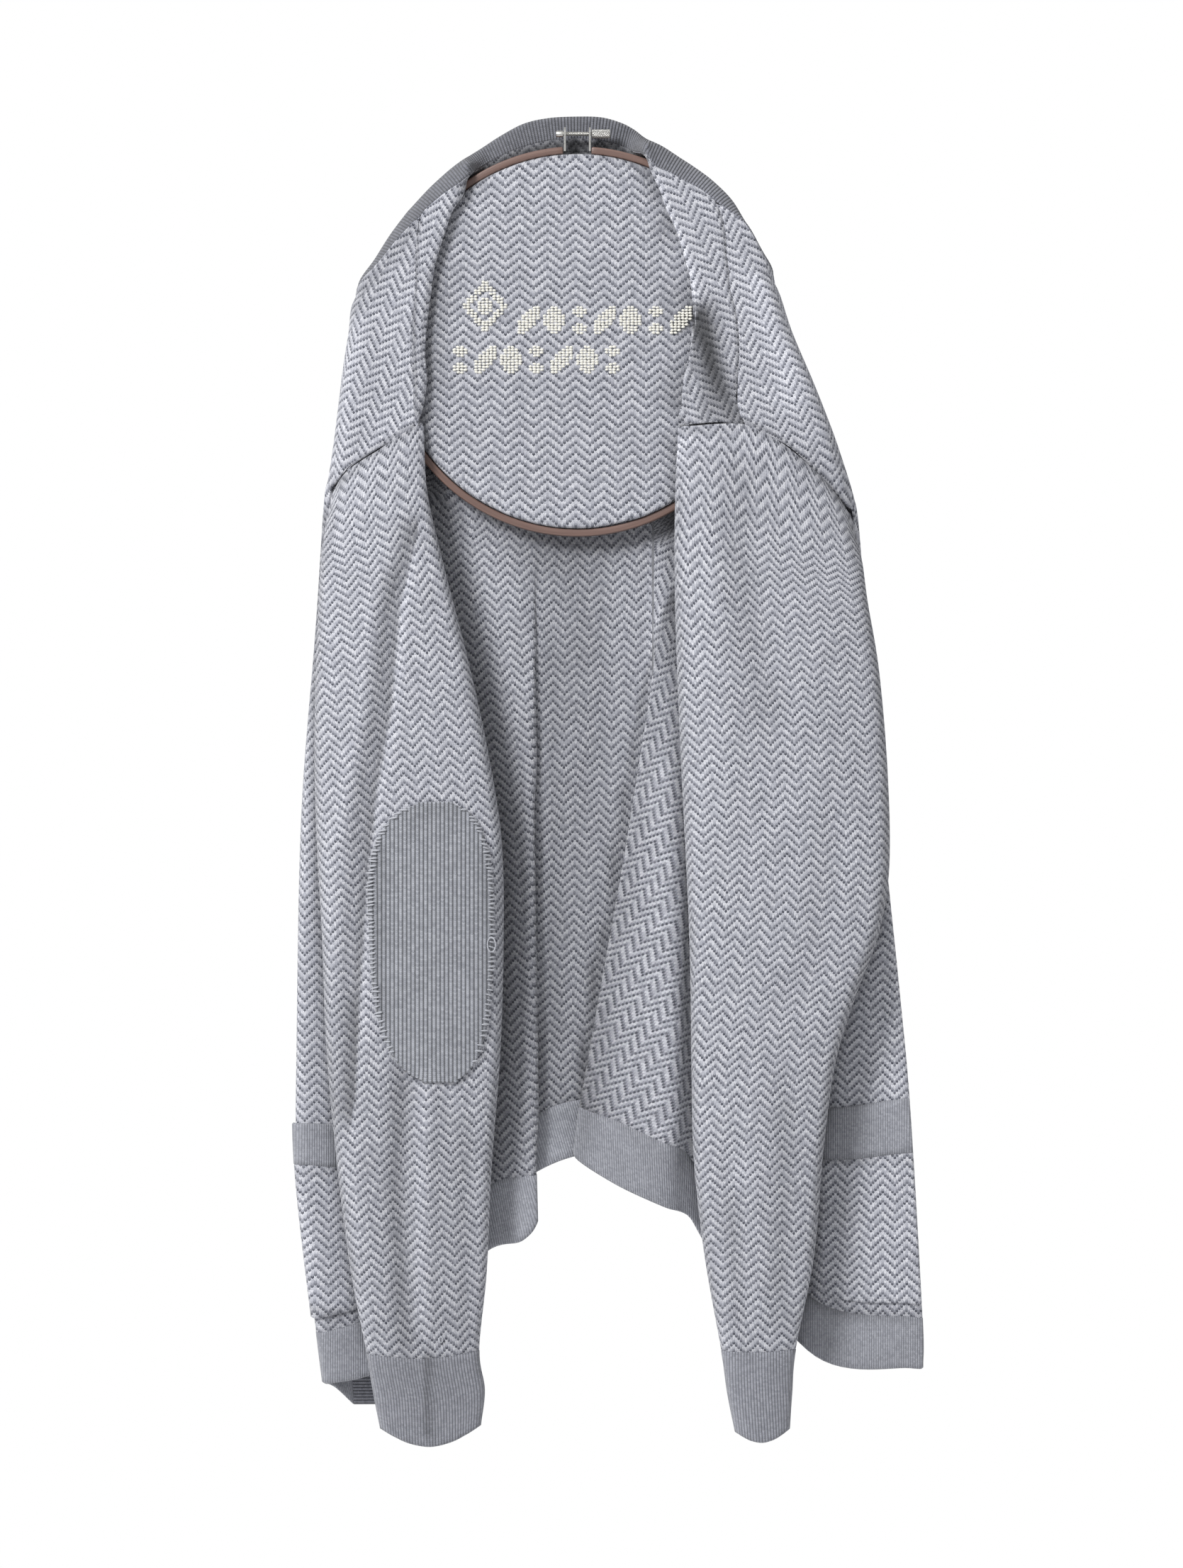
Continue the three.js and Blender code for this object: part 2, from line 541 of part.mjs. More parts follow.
function bandCloth() {
  const side = (fronts, turn) => fronts.map((row, i) => {
    if (i < CURLED_ROWS) return curledBand(row.at(-1));
    return i === CURLED_ROWS ? turningBand(row.at(-1), turn) : hangingBand(row.at(-1), turn);
  });
  const neck = neckEdge().map(({ path, wraps }) => {
    const lean = wraps ? WRAPPED_BAND_LEAN : BAND_LEAN;
    return curledBand(path.at(-1), lean);
  });
  return new Cloth([...side(LEFT_FRONT_ROWS, 1).reverse(), ...neck, ...side(RIGHT_FRONT_ROWS, -1)]);
}

// ---------------------------------------------------------------- sleeves

const RING_POINTS = 16;

// A flattened ring of the sleeve between its inner and outer edges, sagging by sag at its middle.
function sleeveRing({ inner, outer, front, rear, sag = 0 }) {
  const middleY = (front + rear) / 2;
  const halfDepth = (rear - front) / 2;
  return Array.from({ length: RING_POINTS }, (_, k) => {
    const angle = (2 * Math.PI * k) / RING_POINTS;
    const across = (1 - Math.sign(Math.cos(angle)) * Math.abs(Math.cos(angle)) ** 0.9) / 2;
    const bulge = Math.sign(Math.sin(angle)) * Math.abs(Math.sin(angle)) ** 0.6;
    const z = lerp(inner[1], outer[1], across) - sag * Math.sin(Math.PI * across);
    return point(lerp(inner[0], outer[0], across), middleY - halfDepth * bulge, z);
  });
}

const LEFT_SLEEVE = [
  { inner: [-99, -236], outer: [-165.5, -268], front: -24, rear: -5 },
  { inner: [-88, -285], outer: [-168, -302], front: -30, rear: -5 },
  { inner: [-73, -343], outer: [-170, -350], front: -33, rear: -6 },
  { inner: [-60, -402], outer: [-171, -405], front: -34, rear: -6 },
  { inner: [-50.5, -462], outer: [-169.5, -464], front: -35, rear: -6 },
  { inner: [-49, -525], outer: [-166, -527], front: -35, rear: -6 },
  { inner: [-51, -600], outer: [-163, -602], front: -34, rear: -6 },
  { inner: [-57, -680], outer: [-155.5, -682], front: -32, rear: -7 },
  { inner: [-60, -745], outer: [-147, -747], front: -30, rear: -8 },
  { inner: [-65, -797], outer: [-137, -799], front: -27, rear: -9, sag: 4 },
  { inner: [-61.5, -823], outer: [-132.5, -825], front: -26, rear: -10, sag: 6 },
  { inner: [-64, -846], outer: [-128, -848], front: -24, rear: -11, sag: 12 },
];

const RIGHT_SLEEVE = [
  { inner: [65, -235], outer: [185.5, -282], front: -27, rear: -9.5 },
  { inner: [64.5, -290], outer: [189, -308], front: -32, rear: -7 },
  { inner: [66, -350], outer: [196.5, -354], front: -35, rear: -6 },
  { inner: [69, -420], outer: [202, -420], front: -36, rear: -6 },
  { inner: [72, -480], outer: [203, -482], front: -36, rear: -6 },
  { inner: [74, -525], outer: [196, -525], front: -35, rear: -6 },
  { inner: [75, -568], outer: [181, -566], front: -34, rear: -6 },
  { inner: [75.5, -612], outer: [168, -609], front: -34, rear: -6 },
  { inner: [77, -672], outer: [160, -667], front: -33, rear: -7 },
  { inner: [84, -735], outer: [154, -735], front: -31, rear: -8 },
  { inner: [95, -797], outer: [142, -796], front: -30, rear: -8, sag: 1 },
  { inner: [99, -825], outer: [139.5, -825], front: -29, rear: -9, sag: 2 },
  { inner: [104, -850], outer: [138, -848], front: -27, rear: -10, sag: 7 },
];

const sleeveCloth = (armhole, rings) => new Cloth([armhole, ...rings.map(sleeveRing)], true);

// ---------------------------------------------------------------- hoop and its screw

// Part of a ring round the hoop's middle, from one angle to another.
function ringGeometry(outerRadius, width, startDegrees, endDegrees, count) {
  const full = endDegrees - startDegrees >= 360;
  const sections = steps(startDegrees, endDegrees, count).slice(0, full ? -1 : undefined).map((degrees) => {
    const half = HOOP_DEPTH / 2;
    const innerRadius = outerRadius - width;
    const section = [[outerRadius, -half], [outerRadius, half], [innerRadius, half], [innerRadius, -half]];
    return section.map(([radius, y]) => aroundHoop(degrees, radius, y));
  });
  return loopGeometry(sections, full);
}

// A closed band through matching four-cornered sections; open ends get caps.
function loopGeometry(sections, full) {
  const positions = sections.flat().flatMap((p) => [p.x, p.y, p.z]);
  const triangles = [];
  const count = sections.length;
  const corners = sections[0].length;
  const at = (s, k) => (s % count) * corners + (k % corners);
  for (let s = 0; s < (full ? count : count - 1); s += 1) {
    for (let k = 0; k < corners; k += 1) {
      triangles.push(at(s, k), at(s, k + 1), at(s + 1, k + 1));
      triangles.push(at(s, k), at(s + 1, k + 1), at(s + 1, k));
    }
  }
  if (!full) {
    triangles.push(at(0, 0), at(0, 2), at(0, 1), at(0, 0), at(0, 3), at(0, 2));
    const end = count - 1;
    triangles.push(at(end, 0), at(end, 1), at(end, 2), at(end, 0), at(end, 2), at(end, 3));
  }
  return solidGeometry(positions, triangles);
}

// A bracket: an ear with a hole for the screw, standing on the end of the outer ring.
function bracketGeometry() {
  const ear = new THREE.Shape();
  const half = EAR_DEPTH / 2;
  ear.moveTo(-half, EAR_FOOT);
  ear.lineTo(half, EAR_FOOT);
  ear.lineTo(half, EAR_TOP - half);
  ear.absarc(0, EAR_TOP - half, half, 0, Math.PI, false);
  ear.lineTo(-half, EAR_FOOT);
  const hole = new THREE.Path();
  hole.absarc(0, 0, EAR_HOLE, 0, 2 * Math.PI, true);
  ear.holes.push(hole);
  const geometry = new THREE.ExtrudeGeometry(ear, { depth: EAR_THICK, bevelEnabled: false, curveSegments: 12 });
  geometry.translate(0, 0, -EAR_THICK / 2);
  geometry.rotateX(Math.PI / 2);
  geometry.rotateZ(Math.PI / 2);
  return geometry;
}

// A turned piece along the screw's axis from its [along, radius] profile.
function turnedAlongX(profile) {
  const outline = profile.map(([along, radius]) => new THREE.Vector2(radius, along));
  const geometry = new THREE.LatheGeometry(outline, TURNING_STEPS);
  geometry.rotateZ(-Math.PI / 2);
  return geometry;
}

// ---------------------------------------------------------------- the cardigan

const cardigan = new THREE.Group();

const KNIT_LOOK = { color: 0xa9a9b1, roughness: 0.95, metalness: 0 };
const RIB_LOOK = { color: 0x8b8c94, roughness: 0.95, metalness: 0 };
const WOOD_LOOK = { color: 0x7d5f55, roughness: 0.5, metalness: 0 };
const STEEL_LOOK = { color: 0xc9c9c6, roughness: 0.3, metalness: 1 };

function addPiece(name, geometry, look) {
  const mesh = new THREE.Mesh(geometry, new THREE.MeshStandardMaterial(look));
  mesh.name = name;
  cardigan.add(mesh);
  return mesh;
}

// Every key column, with more between those that stand far apart round the ring.
const WIDEST_STEP = 8.2;
function evenColumns(columns) {
  return columns.flatMap(({ degrees }, i) => {
    const next = columns[(i + 1) % columns.length].degrees;
    const apart = Math.abs(((degrees - next + 540) % 360) - 180);
    const parts = Math.ceil(apart / WIDEST_STEP);
    return steps(i, i + 1, parts).slice(0, -1);
  });
}

function addBack() {
  const back = backCloth();
  const columns = evenColumns(backColumns());
  const geometry = clothWall(back, columns, steps(0, back.lastRow, back.lastRow), {
    thick: KNIT, side: 1, closed: true, trim: [0, 1.5 * SEAM_TRIM, 0, 0], pole: point(0, -1, 0),
  });
  addPiece('back', geometry, KNIT_LOOK);
  const seams = backColumns().map(({ path }) => path.at(-1));
  const firstHem = seams.findIndex((seam) => seam.equals(RIGHT_HEM_CORNER));
  const lastHem = firstHem + BACK_HEM.length - 1;
  const drops = [...BACK_HEM].reverse().map((column) => edgePoint(column).sub(seamPoint(column)));
  const edges = seams.map((seam, i) => {
    const drop = drops[Math.min(Math.max(i - firstHem, 0), drops.length - 1)];
    return seam.clone().add(drop);
  });
  const hem = new Cloth([seams, edges]);
  const hemColumns = columns.filter((column) => column >= firstHem && column <= lastHem);
  addPiece('hem_back', clothWall(hem, hemColumns, steps(0, 1, HEM_STEPS), {
    thick: RIB, side: 1, trim: [3 * SEAM_TRIM, 0, 3 * SEAM_TRIM, 3 * SEAM_TRIM],
  }), RIB_LOOK);
}

const FRONT_COLUMNS = [0, 0.6, 1.3, 2, 2.3, 2.6, 3, 3.5, 4, 5];
const ROWS_ABOVE_POCKET = 13;

// A front with its hem, pocket and pocket rib. The pocket lies on the front's own points.
function addFront(name, rows, side, pocketColumns, ribRows, pocketRows) {
  const front = new Cloth(rows);
  const above = steps(0, ROWS_ABOVE_POCKET, ROWS_ABOVE_POCKET);
  const trim = [SEAM_TRIM, SEAM_TRIM, 2 * SEAM_TRIM, SEAM_TRIM];
  const panelRows = [...above, ...ribRows, ...pocketRows.slice(1), HEM_ROW];
  addPiece(`front_${name}`, clothWall(front, FRONT_COLUMNS, panelRows, { thick: KNIT, side, trim }), KNIT_LOOK);
  addPiece(`hem_${name}`, clothWall(front, FRONT_COLUMNS, steps(HEM_ROW, HEM_ROW + 1, HEM_STEPS), {
    thick: RIB, side, trim: [SEAM_TRIM, 0, 2 * SEAM_TRIM, SEAM_TRIM],
  }), RIB_LOOK);
  addPiece(`pocket_${name}`, clothWall(front, pocketColumns, pocketRows, {
    thick: KNIT, side, lift: PATCH_LIFT, trim: [SEAM_TRIM, 0, 0, 0],
  }), KNIT_LOOK);
  addPiece(`pocket_rib_${name}`, clothWall(front, pocketColumns, ribRows, {
    thick: RIB, side, lift: PATCH_LIFT, trim: [0, SEAM_TRIM, 0, 0],
  }), RIB_LOOK);
}

const SLEEVE_COLUMNS = steps(0, RING_POINTS, 20).slice(0, -1);

function addSleeve(name, armhole, rings, side) {
  const sleeve = sleeveCloth(armhole, rings);
  const cuffRow = rings.length - 2;
  addPiece(`sleeve_${name}`, clothWall(sleeve, SLEEVE_COLUMNS, steps(0, cuffRow, cuffRow), {
    thick: KNIT, side, closed: true, trim: [SEAM_TRIM, SEAM_TRIM, 0, 0],
  }), KNIT_LOOK);
  addPiece(`cuff_${name}`, clothWall(sleeve, SLEEVE_COLUMNS, steps(cuffRow, cuffRow + 2, 2), {
    thick: RIB, side, closed: true, trim: [SEAM_TRIM, 0, 0, 0],
  }), RIB_LOOK);
  return sleeve;
}

// The darned oval on the left sleeve's elbow.
function addElbowPatch(sleeve) {
  const [firstColumn, lastColumn] = [1.35, 5.1];
  const [firstRow, lastRow] = [4.62, 7.25];
  const middle = (firstColumn + lastColumn) / 2;
  const halfWidth = (lastColumn - firstColumn) / 2;
  const oval = (across, down) => {
    const narrowing = Math.max((1 - Math.abs(down) ** 2.6) ** (1 / 2.6), 0.26);
    return [middle + halfWidth * across * narrowing, lerp(firstRow, lastRow, (down + 1) / 2)];
  };
  const down = [-1, -0.9, -0.72, -0.45, -0.15, 0.15, 0.45, 0.72, 0.9, 1];
  addPiece('elbow_patch', clothWall(sleeve, steps(-1, 1, 7), down, {
    thick: RIB, side: 1, lift: PATCH_LIFT, shape: oval,
  }), RIB_LOOK);
}

function addBand() {
  const band = bandCloth();
  addPiece('front_band', clothWall(band, [0, 1, 2, 3, 4, 5], steps(0, band.lastRow, band.lastRow), {
    thick: RIB, side: -1, trim: [0, 0, 3 * SEAM_TRIM, 0],
  }), RIB_LOOK);
}

function addHoop() {
  const [start, end] = [90 + HOOP_GAP_HALF_ANGLE, 450 - HOOP_GAP_HALF_ANGLE];
  addPiece('hoop_outer', ringGeometry(HOOP_OUTER, HOOP_WIDTH, start, end, HOOP_STEPS), WOOD_LOOK);
  addPiece('hoop_inner', ringGeometry(INNER_RING_OUTER, INNER_RING_WIDTH, 90, 450, HOOP_STEPS), WOOD_LOOK);
}

function addScrew() {
  [['left', -1], ['right', 1]].forEach(([name, direction]) => {
    addPiece(`bracket_${name}`, bracketGeometry(), STEEL_LOOK).position.x = direction * EAR_X;
  });
  const head = SCREW_RADIUS + 0.6;
  addPiece('tension_screw', turnedAlongX([
    [SCREW_LEFT, 0], [SCREW_LEFT, head], [-EAR_X - EAR_THICK, head], [-EAR_X - EAR_THICK, SCREW_RADIUS],
    [SCREW_RIGHT, SCREW_RADIUS], [SCREW_RIGHT, 0],
  ]), STEEL_LOOK);
  addPiece('barrel_nut', turnedAlongX([
    [NUT_LEFT, NUT_BORE], [NUT_LEFT, NUT_RADIUS], [NUT_RIGHT, NUT_RADIUS], [NUT_RIGHT, NUT_BORE],
    [NUT_LEFT, NUT_BORE],
  ]), STEEL_LOOK);
}

addBack();
addFront('left', LEFT_FRONT_ROWS, 1, [0.6, 1.3, 2, 2.3, 2.6, 3], [13.62, 13.97], [13.97, 14.4, 14.87]);
addFront('right', RIGHT_FRONT_ROWS, -1, [0.6, 1.3, 2, 2.3], [13.9, 14.2], [14.2, 14.55, 14.9]);
addElbowPatch(addSleeve('left', armholeSide(LEFT_ARMHOLE, -1), LEFT_SLEEVE, 1));
addSleeve('right', armholeSide(RIGHT_ARMHOLE, -1), RIGHT_SLEEVE, -1);
addBand();
addHoop();
addScrew();

export default cardigan;
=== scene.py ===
# Looks for a herringbone wool cardigan hung in an embroidery hoop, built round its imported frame.
# Key points are in millimetres: x to the viewer's right, y away from the viewer, z up.

import math

import bpy
import numpy as np
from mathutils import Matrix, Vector


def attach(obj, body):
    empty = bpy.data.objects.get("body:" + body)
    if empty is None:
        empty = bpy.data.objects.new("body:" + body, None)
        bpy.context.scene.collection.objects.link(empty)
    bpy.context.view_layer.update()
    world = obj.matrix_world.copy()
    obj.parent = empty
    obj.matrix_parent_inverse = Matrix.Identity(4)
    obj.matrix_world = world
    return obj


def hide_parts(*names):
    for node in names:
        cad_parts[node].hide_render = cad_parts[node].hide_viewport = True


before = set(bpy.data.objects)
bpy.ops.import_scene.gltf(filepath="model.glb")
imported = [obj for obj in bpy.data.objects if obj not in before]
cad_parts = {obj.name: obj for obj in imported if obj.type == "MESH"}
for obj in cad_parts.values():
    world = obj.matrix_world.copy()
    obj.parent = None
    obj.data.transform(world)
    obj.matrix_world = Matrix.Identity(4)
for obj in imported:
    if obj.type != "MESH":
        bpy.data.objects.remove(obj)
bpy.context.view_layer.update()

MM = 0.001

# ---------------------------------------------------------------- sizes shared with the frame

KNIT = 1.8
RIB = 2.2
SEAM_GAP = 0.35
HOOP_CENTRE = -136.5
HOOP_OUTER = 128
HOOP_WIDTH = 4.8
INNER_RING_OUTER = 120.4
INNER_RING_WIDTH = 4.4
HOOP_DEPTH = 10
HOOP_GAP_HALF_ANGLE = 4.25
DISC_Y = -6.7
GRIP_RADIUS = 121.8
BEHIND_Y = 8.2
BEHIND_RADIUS = 125
FRONT_Y = -15
UNDER_Y = -9.8
TURN_RADIUS = 130.6
NAPE_SWING = 130
UNDERARM_SWING = 137


def point(x, y, z):
    return np.array([x, y, z], float)


def mix(a, b, t):
    return a + (b - a) * t


def around_hoop(degrees, radius, y):
    angle = math.radians(degrees)
    return point(radius * math.cos(angle), y, HOOP_CENTRE + radius * math.sin(angle))


def curve_at(pairs, x):
    """The value at x of a smooth curve through given (x, value) pairs."""
    pairs = sorted(pairs)
    if x <= pairs[0][0]:
        return pairs[0][1]
    if x >= pairs[-1][0]:
        return pairs[-1][1]
    after = next(i for i, pair in enumerate(pairs) if pair[0] > x)
    (x0, v0), (x1, v1) = pairs[after - 1], pairs[after]
    t = (x - x0) / (x1 - x0)
    return mix(v0, v1, t * t * (3 - 2 * t) * 0.4 + t * 0.6)


def smooth_step(low, high, x):
    t = np.clip((x - low) / (high - low), 0, 1)
    return t * t * (3 - 2 * t)


# ---------------------------------------------------------------- cloth surfaces

RIM_BULGE = 0.42
RIM_SHADE = 0.5
CREASE_FACING = (-0.15, -0.5)
SHADE_FACING = (0.1, -0.35)
SHADE_LIMITS = (-0.3, 0.85)
MERGE_DISTANCE = 2e-6


def smooth_curve(keys, positions, closed=False):
    """Points at the given positions of a Catmull-Rom curve through keys."""
    before, after = 2 * keys[:1] - keys[1:2], 2 * keys[-1:] - keys[-2:-1]
    if closed:
        before, after = keys[-1:], keys[:2]
    keys = np.concatenate([before, keys, after])
    positions = np.asarray(positions, float)
    start = np.clip(np.floor(positions).astype(int), 0, len(keys) - 4)
    t = (positions - start).reshape(-1, 1, 1)
    weights = (
        -(t**3) + 2 * t**2 - t, 3 * t**3 - 5 * t**2 + 2, -3 * t**3 + 4 * t**2 + t, t**3 - t**2,
    )
    return sum(weight * keys[start + step] for step, weight in enumerate(weights)) / 2


def surface(sections, columns, rows, closed=False):
    """A grid of points on the smooth cloth through sections[row][column]."""
    across = smooth_curve(np.array(sections, float).swapaxes(0, 1), columns, closed)
    return smooth_curve(across.swapaxes(0, 1), rows)


def unit(steps):
    return steps / np.maximum(np.linalg.norm(steps, axis=-1, keepdims=True), 1e-9)


def grid_normals(grid, closed, side):
    if closed:
        wrapped = np.concatenate([grid[:, -1:], grid, grid[:, :1]], axis=1)
        across = wrapped[:, 2:] - wrapped[:, :-2]
    else:
        across = np.gradient(grid, axis=1)
    return side * unit(np.cross(across, np.gradient(grid, axis=0)))


def line_distance(places, line):
    """Distance of each (x, z) place to a line, its side (right is +) and its share along the line."""
    line = np.array(line, float)
    best = np.full(places.shape[:-1], np.inf)
    side, share = np.zeros_like(best), np.zeros_like(best)
    lengths = np.linalg.norm(np.diff(line, axis=0), axis=1)
    before = np.concatenate([[0], np.cumsum(lengths)])
    for start, end, length, sofar in zip(line[:-1], line[1:], lengths, before):
        along = (end - start) / length
        offset = places - start
        t = np.clip(offset @ along, 0, length)
        away = np.linalg.norm(offset - t[..., None] * along, axis=-1)
        nearer = away < best
        best = np.where(nearer, away, best)
        cross = along[0] * offset[..., 1] - along[1] * offset[..., 0]
        side = np.where(nearer, -np.sign(cross), side)
        share = np.where(nearer, (sofar + t) / before[-1], share)
    return best, side, share


def soft_lines(grid, lines, fades=False):
    """Soft marks along listed lines, seen from the front.

    Each is (its (x, z) places, width to its left, width to its right, amount).
    """
    total = np.zeros(grid.shape[:-1])
    for line, left, right, amount in lines:
        away, side, share = line_distance(grid[..., [0, 2]], line)
        if fades:
            amount = amount * smooth_step(0, 0.12, share) * smooth_step(0, 0.12, 1 - share)
        total += amount * np.exp(-((away / np.where(side > 0, right, left)) ** 2))
    return total


def step_lengths(grid, axis, used):
    """Running length along one axis of a grid, counting only some of the coordinates."""
    steps = np.linalg.norm(np.diff(grid[..., used], axis=axis), axis=2)
    return np.concatenate([np.zeros_like(np.take(steps, [0], axis=axis)), np.cumsum(steps, axis=axis)], axis=axis)


def draw_in(grid, gaps):
    """Pulls the top, bottom, first and last edges of a grid in by their seam gaps."""
    for axis, pair in ((0, gaps[:2]), (1, gaps[2:])):
        lines = np.moveaxis(grid, axis, 0)
        for edge, inside, gap in zip((0, -1), (1, -2), pair):
            if gap:
                step = lines[inside] - lines[edge]
                lines[edge] += step * gap / np.maximum(np.linalg.norm(step, axis=1, keepdims=True), gap)


def cloth_piece(
    name, grid, uv, thick, material, closed=False, side=1, lift=0.0, gaps=(0, 0, 0, 0), creases=(), shades=(),
    pole=None,
):
    """A closed wall of cloth about a grid of points. uv has one more column than a closed grid."""
    # Painted shade for each grid point from the shade lines; negative amounts paint highlight.
    shade = shades if isinstance(shades, np.ndarray) else soft_lines(grid, shades)
    grid = grid.copy()
    draw_in(grid, gaps)
    normals = grid_normals(grid, closed, side)
    raised = soft_lines(grid, creases, fades=True) * smooth_step(*CREASE_FACING, normals[..., 1])
    grid = grid + normals * raised[..., None]
    normals = grid_normals(grid, closed, side)
    if pole is not None:
        normals[0] = pole
    middle = grid + normals * lift

    def rim(edge, inside):
        return edge + unit(edge - inside) * thick * RIM_BULGE

    # round the wall: (top rim,) outer side going down, bottom rim, inner side going up
    rows = list(range(len(grid)))
    order, facing = [*rows, rows[-1], *rows[::-1]], [1] * len(rows) + [0] + [-1] * len(rows)
    if pole is None:
        order, facing = [0, *order], [0, *facing]
    facing = np.array(facing)[:, None]
    around = middle[order] + normals[order] * facing[..., None] * thick / 2
    around[-len(rows) - 1] = rim(middle[-1], middle[-2])
    if pole is None:
        around[0] = rim(middle[0], middle[1])
    # The painted shade fades where the cloth faces away from the front, and the rims take half of it.
    seen = smooth_step(*SHADE_FACING, facing * normals[order][..., 1])
    depth = shade[order] * np.where(facing == 0, RIM_SHADE, seen)
    uv = uv[order]
    if not closed:
        first, last = (rim(middle[:, end], middle[:, inside])[order][:, None] for end, inside in ((0, 1), (-1, -2)))
        around = np.concatenate([first, around, last], axis=1)
        depth = np.concatenate([shade[order, :1] * RIM_SHADE, depth, shade[order, -1:] * RIM_SHADE], axis=1)
        uv = uv[:, [0, *range(uv.shape[1]), -1]]
    levels, width = around.shape[:2]
    down, across = np.indices((levels - (pole is not None), width if closed else width - 1))
    corners = [((down + r) % levels, across + c) for r, c in ((0, 0), (0, 1), (1, 1), (1, 0))]
    faces = np.stack([row * width + column % width for row, column in corners], axis=-1).reshape(-1, 4)
    corner_uv = np.stack([uv[row, column] for row, column in corners], axis=-2) * MM
    piece = new_piece(name, around.reshape(-1, 3), faces.tolist(), material)
    piece.data.uv_layers.new(name="knit").data.foreach_set("uv", corner_uv.astype(np.float32).ravel())
    # The fold attribute carries this painted shade and highlight to the wool finish, which darkens the colour by
    # it.
    fold = piece.data.attributes.new("fold", "FLOAT", "POINT")
    fold.data.foreach_set("value", np.clip(depth, *SHADE_LIMITS).astype(np.float32).ravel())
    open_mesh(piece)
    close_mesh()
    bpy.ops.object.shade_smooth()
    return piece


def new_piece(name, places, faces, material, edges=()):
    """A piece at the origin, from places in millimetres."""
    mesh = bpy.data.meshes.new(name)
    mesh.from_pydata((np.array(places) * MM).tolist(), edges, faces)
    mesh.materials.append(material)
    return new_object(name, mesh)


def new_object(name, data):
    made = bpy.data.objects.new(name, data)
    bpy.context.scene.collection.objects.link(made)
    return made


def open_mesh(piece):
    """Opens this piece alone, with all of it selected."""
    bpy.ops.object.select_all(action="DESELECT")
    piece.select_set(True)
    bpy.context.view_layer.objects.active = piece
    bpy.ops.object.mode_set(mode="EDIT")
    bpy.ops.mesh.select_all(action="SELECT")


def close_mesh():
    """Merges the open piece's doubles, turns its faces outwards and leaves it."""
    bpy.ops.mesh.select_all(action="SELECT")
    bpy.ops.mesh.remove_doubles(threshold=MERGE_DISTANCE)
    bpy.ops.mesh.normals_make_consistent(inside=False)
    bpy.ops.object.mode_set(mode="OBJECT")


def add(piece, slot, *nodes):
    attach(piece, "root")
    if nodes:
        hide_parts(*nodes)
    return piece


# ---------------------------------------------------------------- finishes


class Amount:
    """A value that nodes work out over the surface, written as plain arithmetic."""

    def __init__(self, finish, socket):
        self.finish, self.socket = finish, socket

    def calc(self, operation, *others):
        return self.finish.node("ShaderNodeMath", dict(enumerate((self, *others))), operation=operation)

    __add__ = __radd__ = lambda self, other: self.calc("ADD", other)
    __mul__ = __rmul__ = lambda self, other: self.calc("MULTIPLY", other)
    __sub__ = lambda self, other: self.calc("SUBTRACT", other)
    __rsub__ = lambda self, other: self * -1 + other
    __truediv__ = lambda self, other: self.calc("DIVIDE", other)
    __pow__ = lambda self, other: self.calc("POWER", other)
    __abs__ = lambda self: self.calc("ABSOLUTE")

    def whole_and_part(self):
        return self.calc("FLOOR"), self.calc("FRACT")

    def is_odd(self):
        return self.calc("PINGPONG", 1.0)


class Finish:
    """A material and a short way of writing its nodes."""

    def __init__(self, name, roughness, metallic=0.0):
        self.material = bpy.data.materials.new(name)
        self.material.use_nodes = True
        self.tree = self.material.node_tree
        self.set(Roughness=roughness, Metallic=metallic)

    def set(self, **values):
        """Sets the shader's sockets by name, with _ for a space."""
        for name, value in values.items():
            self.feed(self.tree.nodes["Principled BSDF"].inputs[name.replace("_", " ")], value)

    def feed(self, socket, value):
        if isinstance(value, Amount):
            self.tree.links.new(value.socket, socket)
        else:
            socket.default_value = value

    def node(self, kind, inputs=(), out=0, **settings):
        node = self.tree.nodes.new(kind)
        for name, value in settings.items():
            setattr(node, name, value)
        for place, value in dict(inputs).items():
            self.feed(node.inputs[place], value)
        return Amount(self, node.outputs[out])

    def between(self, factor, low, high, blend_type="MIX"):
        """Blends two colours."""
        places = {0: factor, 6: low, 7: high}
        return self.node("ShaderNodeMix", places, 2, data_type="RGBA", blend_type=blend_type)

    def noise(self, place, scale, detail=2.0, roughness=0.5):
        places = {"Vector": place, "Scale": scale, "Detail": detail, "Roughness": roughness}
        return self.node("ShaderNodeTexNoise", places, "Fac")

    def parts(self, place):
        node = self.tree.nodes.new("ShaderNodeSeparateXYZ")
        self.feed(node.inputs[0], place)
        return [Amount(self, output) for output in node.outputs]

    def joined(self, *parts):
        return self.node("ShaderNodeCombineXYZ", enumerate(parts))

    def own_place(self):
        return self.node("ShaderNodeTexCoord", out="Object")

    def bump(self, height, distance, strength=1.0):
        places = {"Strength": strength, "Distance": distance, "Height": height}
        self.set(Normal=self.node("ShaderNodeBump", places))

    def stitches(self, pitch, height):
        """The knit place, each stitch's column, row and steady random number, and where in it a place lies.

        The last two run from 0 to 1 and back: across the stitch from its middle, and up it.
        """
        uv = self.node("ShaderNodeUVMap", uv_map="knit")
        u, v, _ = self.parts(uv)
        column, across = (u / pitch).whole_and_part()
        leg = abs(across * 2 - 1)
        row, rise = (v / height + leg * -0.5).whole_and_part()
        place = {"Vector": self.joined(column, row)}
        odd = self.node("ShaderNodeTexWhiteNoise", place, "Value", noise_dimensions="2D")
        return uv, column, row, odd, leg, abs(rise * 2 - 1)

    def wool(self, colour, light, sheen=0.25):
        """Soft wool, its colour multiplied by the given light amount and by the painted shade and highlight that
        the cloth carries in its fold attribute.
        """
        if light is not None:
            # Painted shade: the colour is multiplied by the light amount and by the painted shade and highlight
            # read from the fold attribute.
            light = light * (1 - self.node("ShaderNodeAttribute", out="Fac", attribute_name="fold"))
            grey = self.node("ShaderNodeCombineColor", enumerate([light] * 3))
            colour = self.between(1.0, colour, grey, "MULTIPLY")
        self.set(Base_Color=colour, Sheen_Weight=sheen, Sheen_Roughness=0.6, Specular_IOR_Level=0.25)


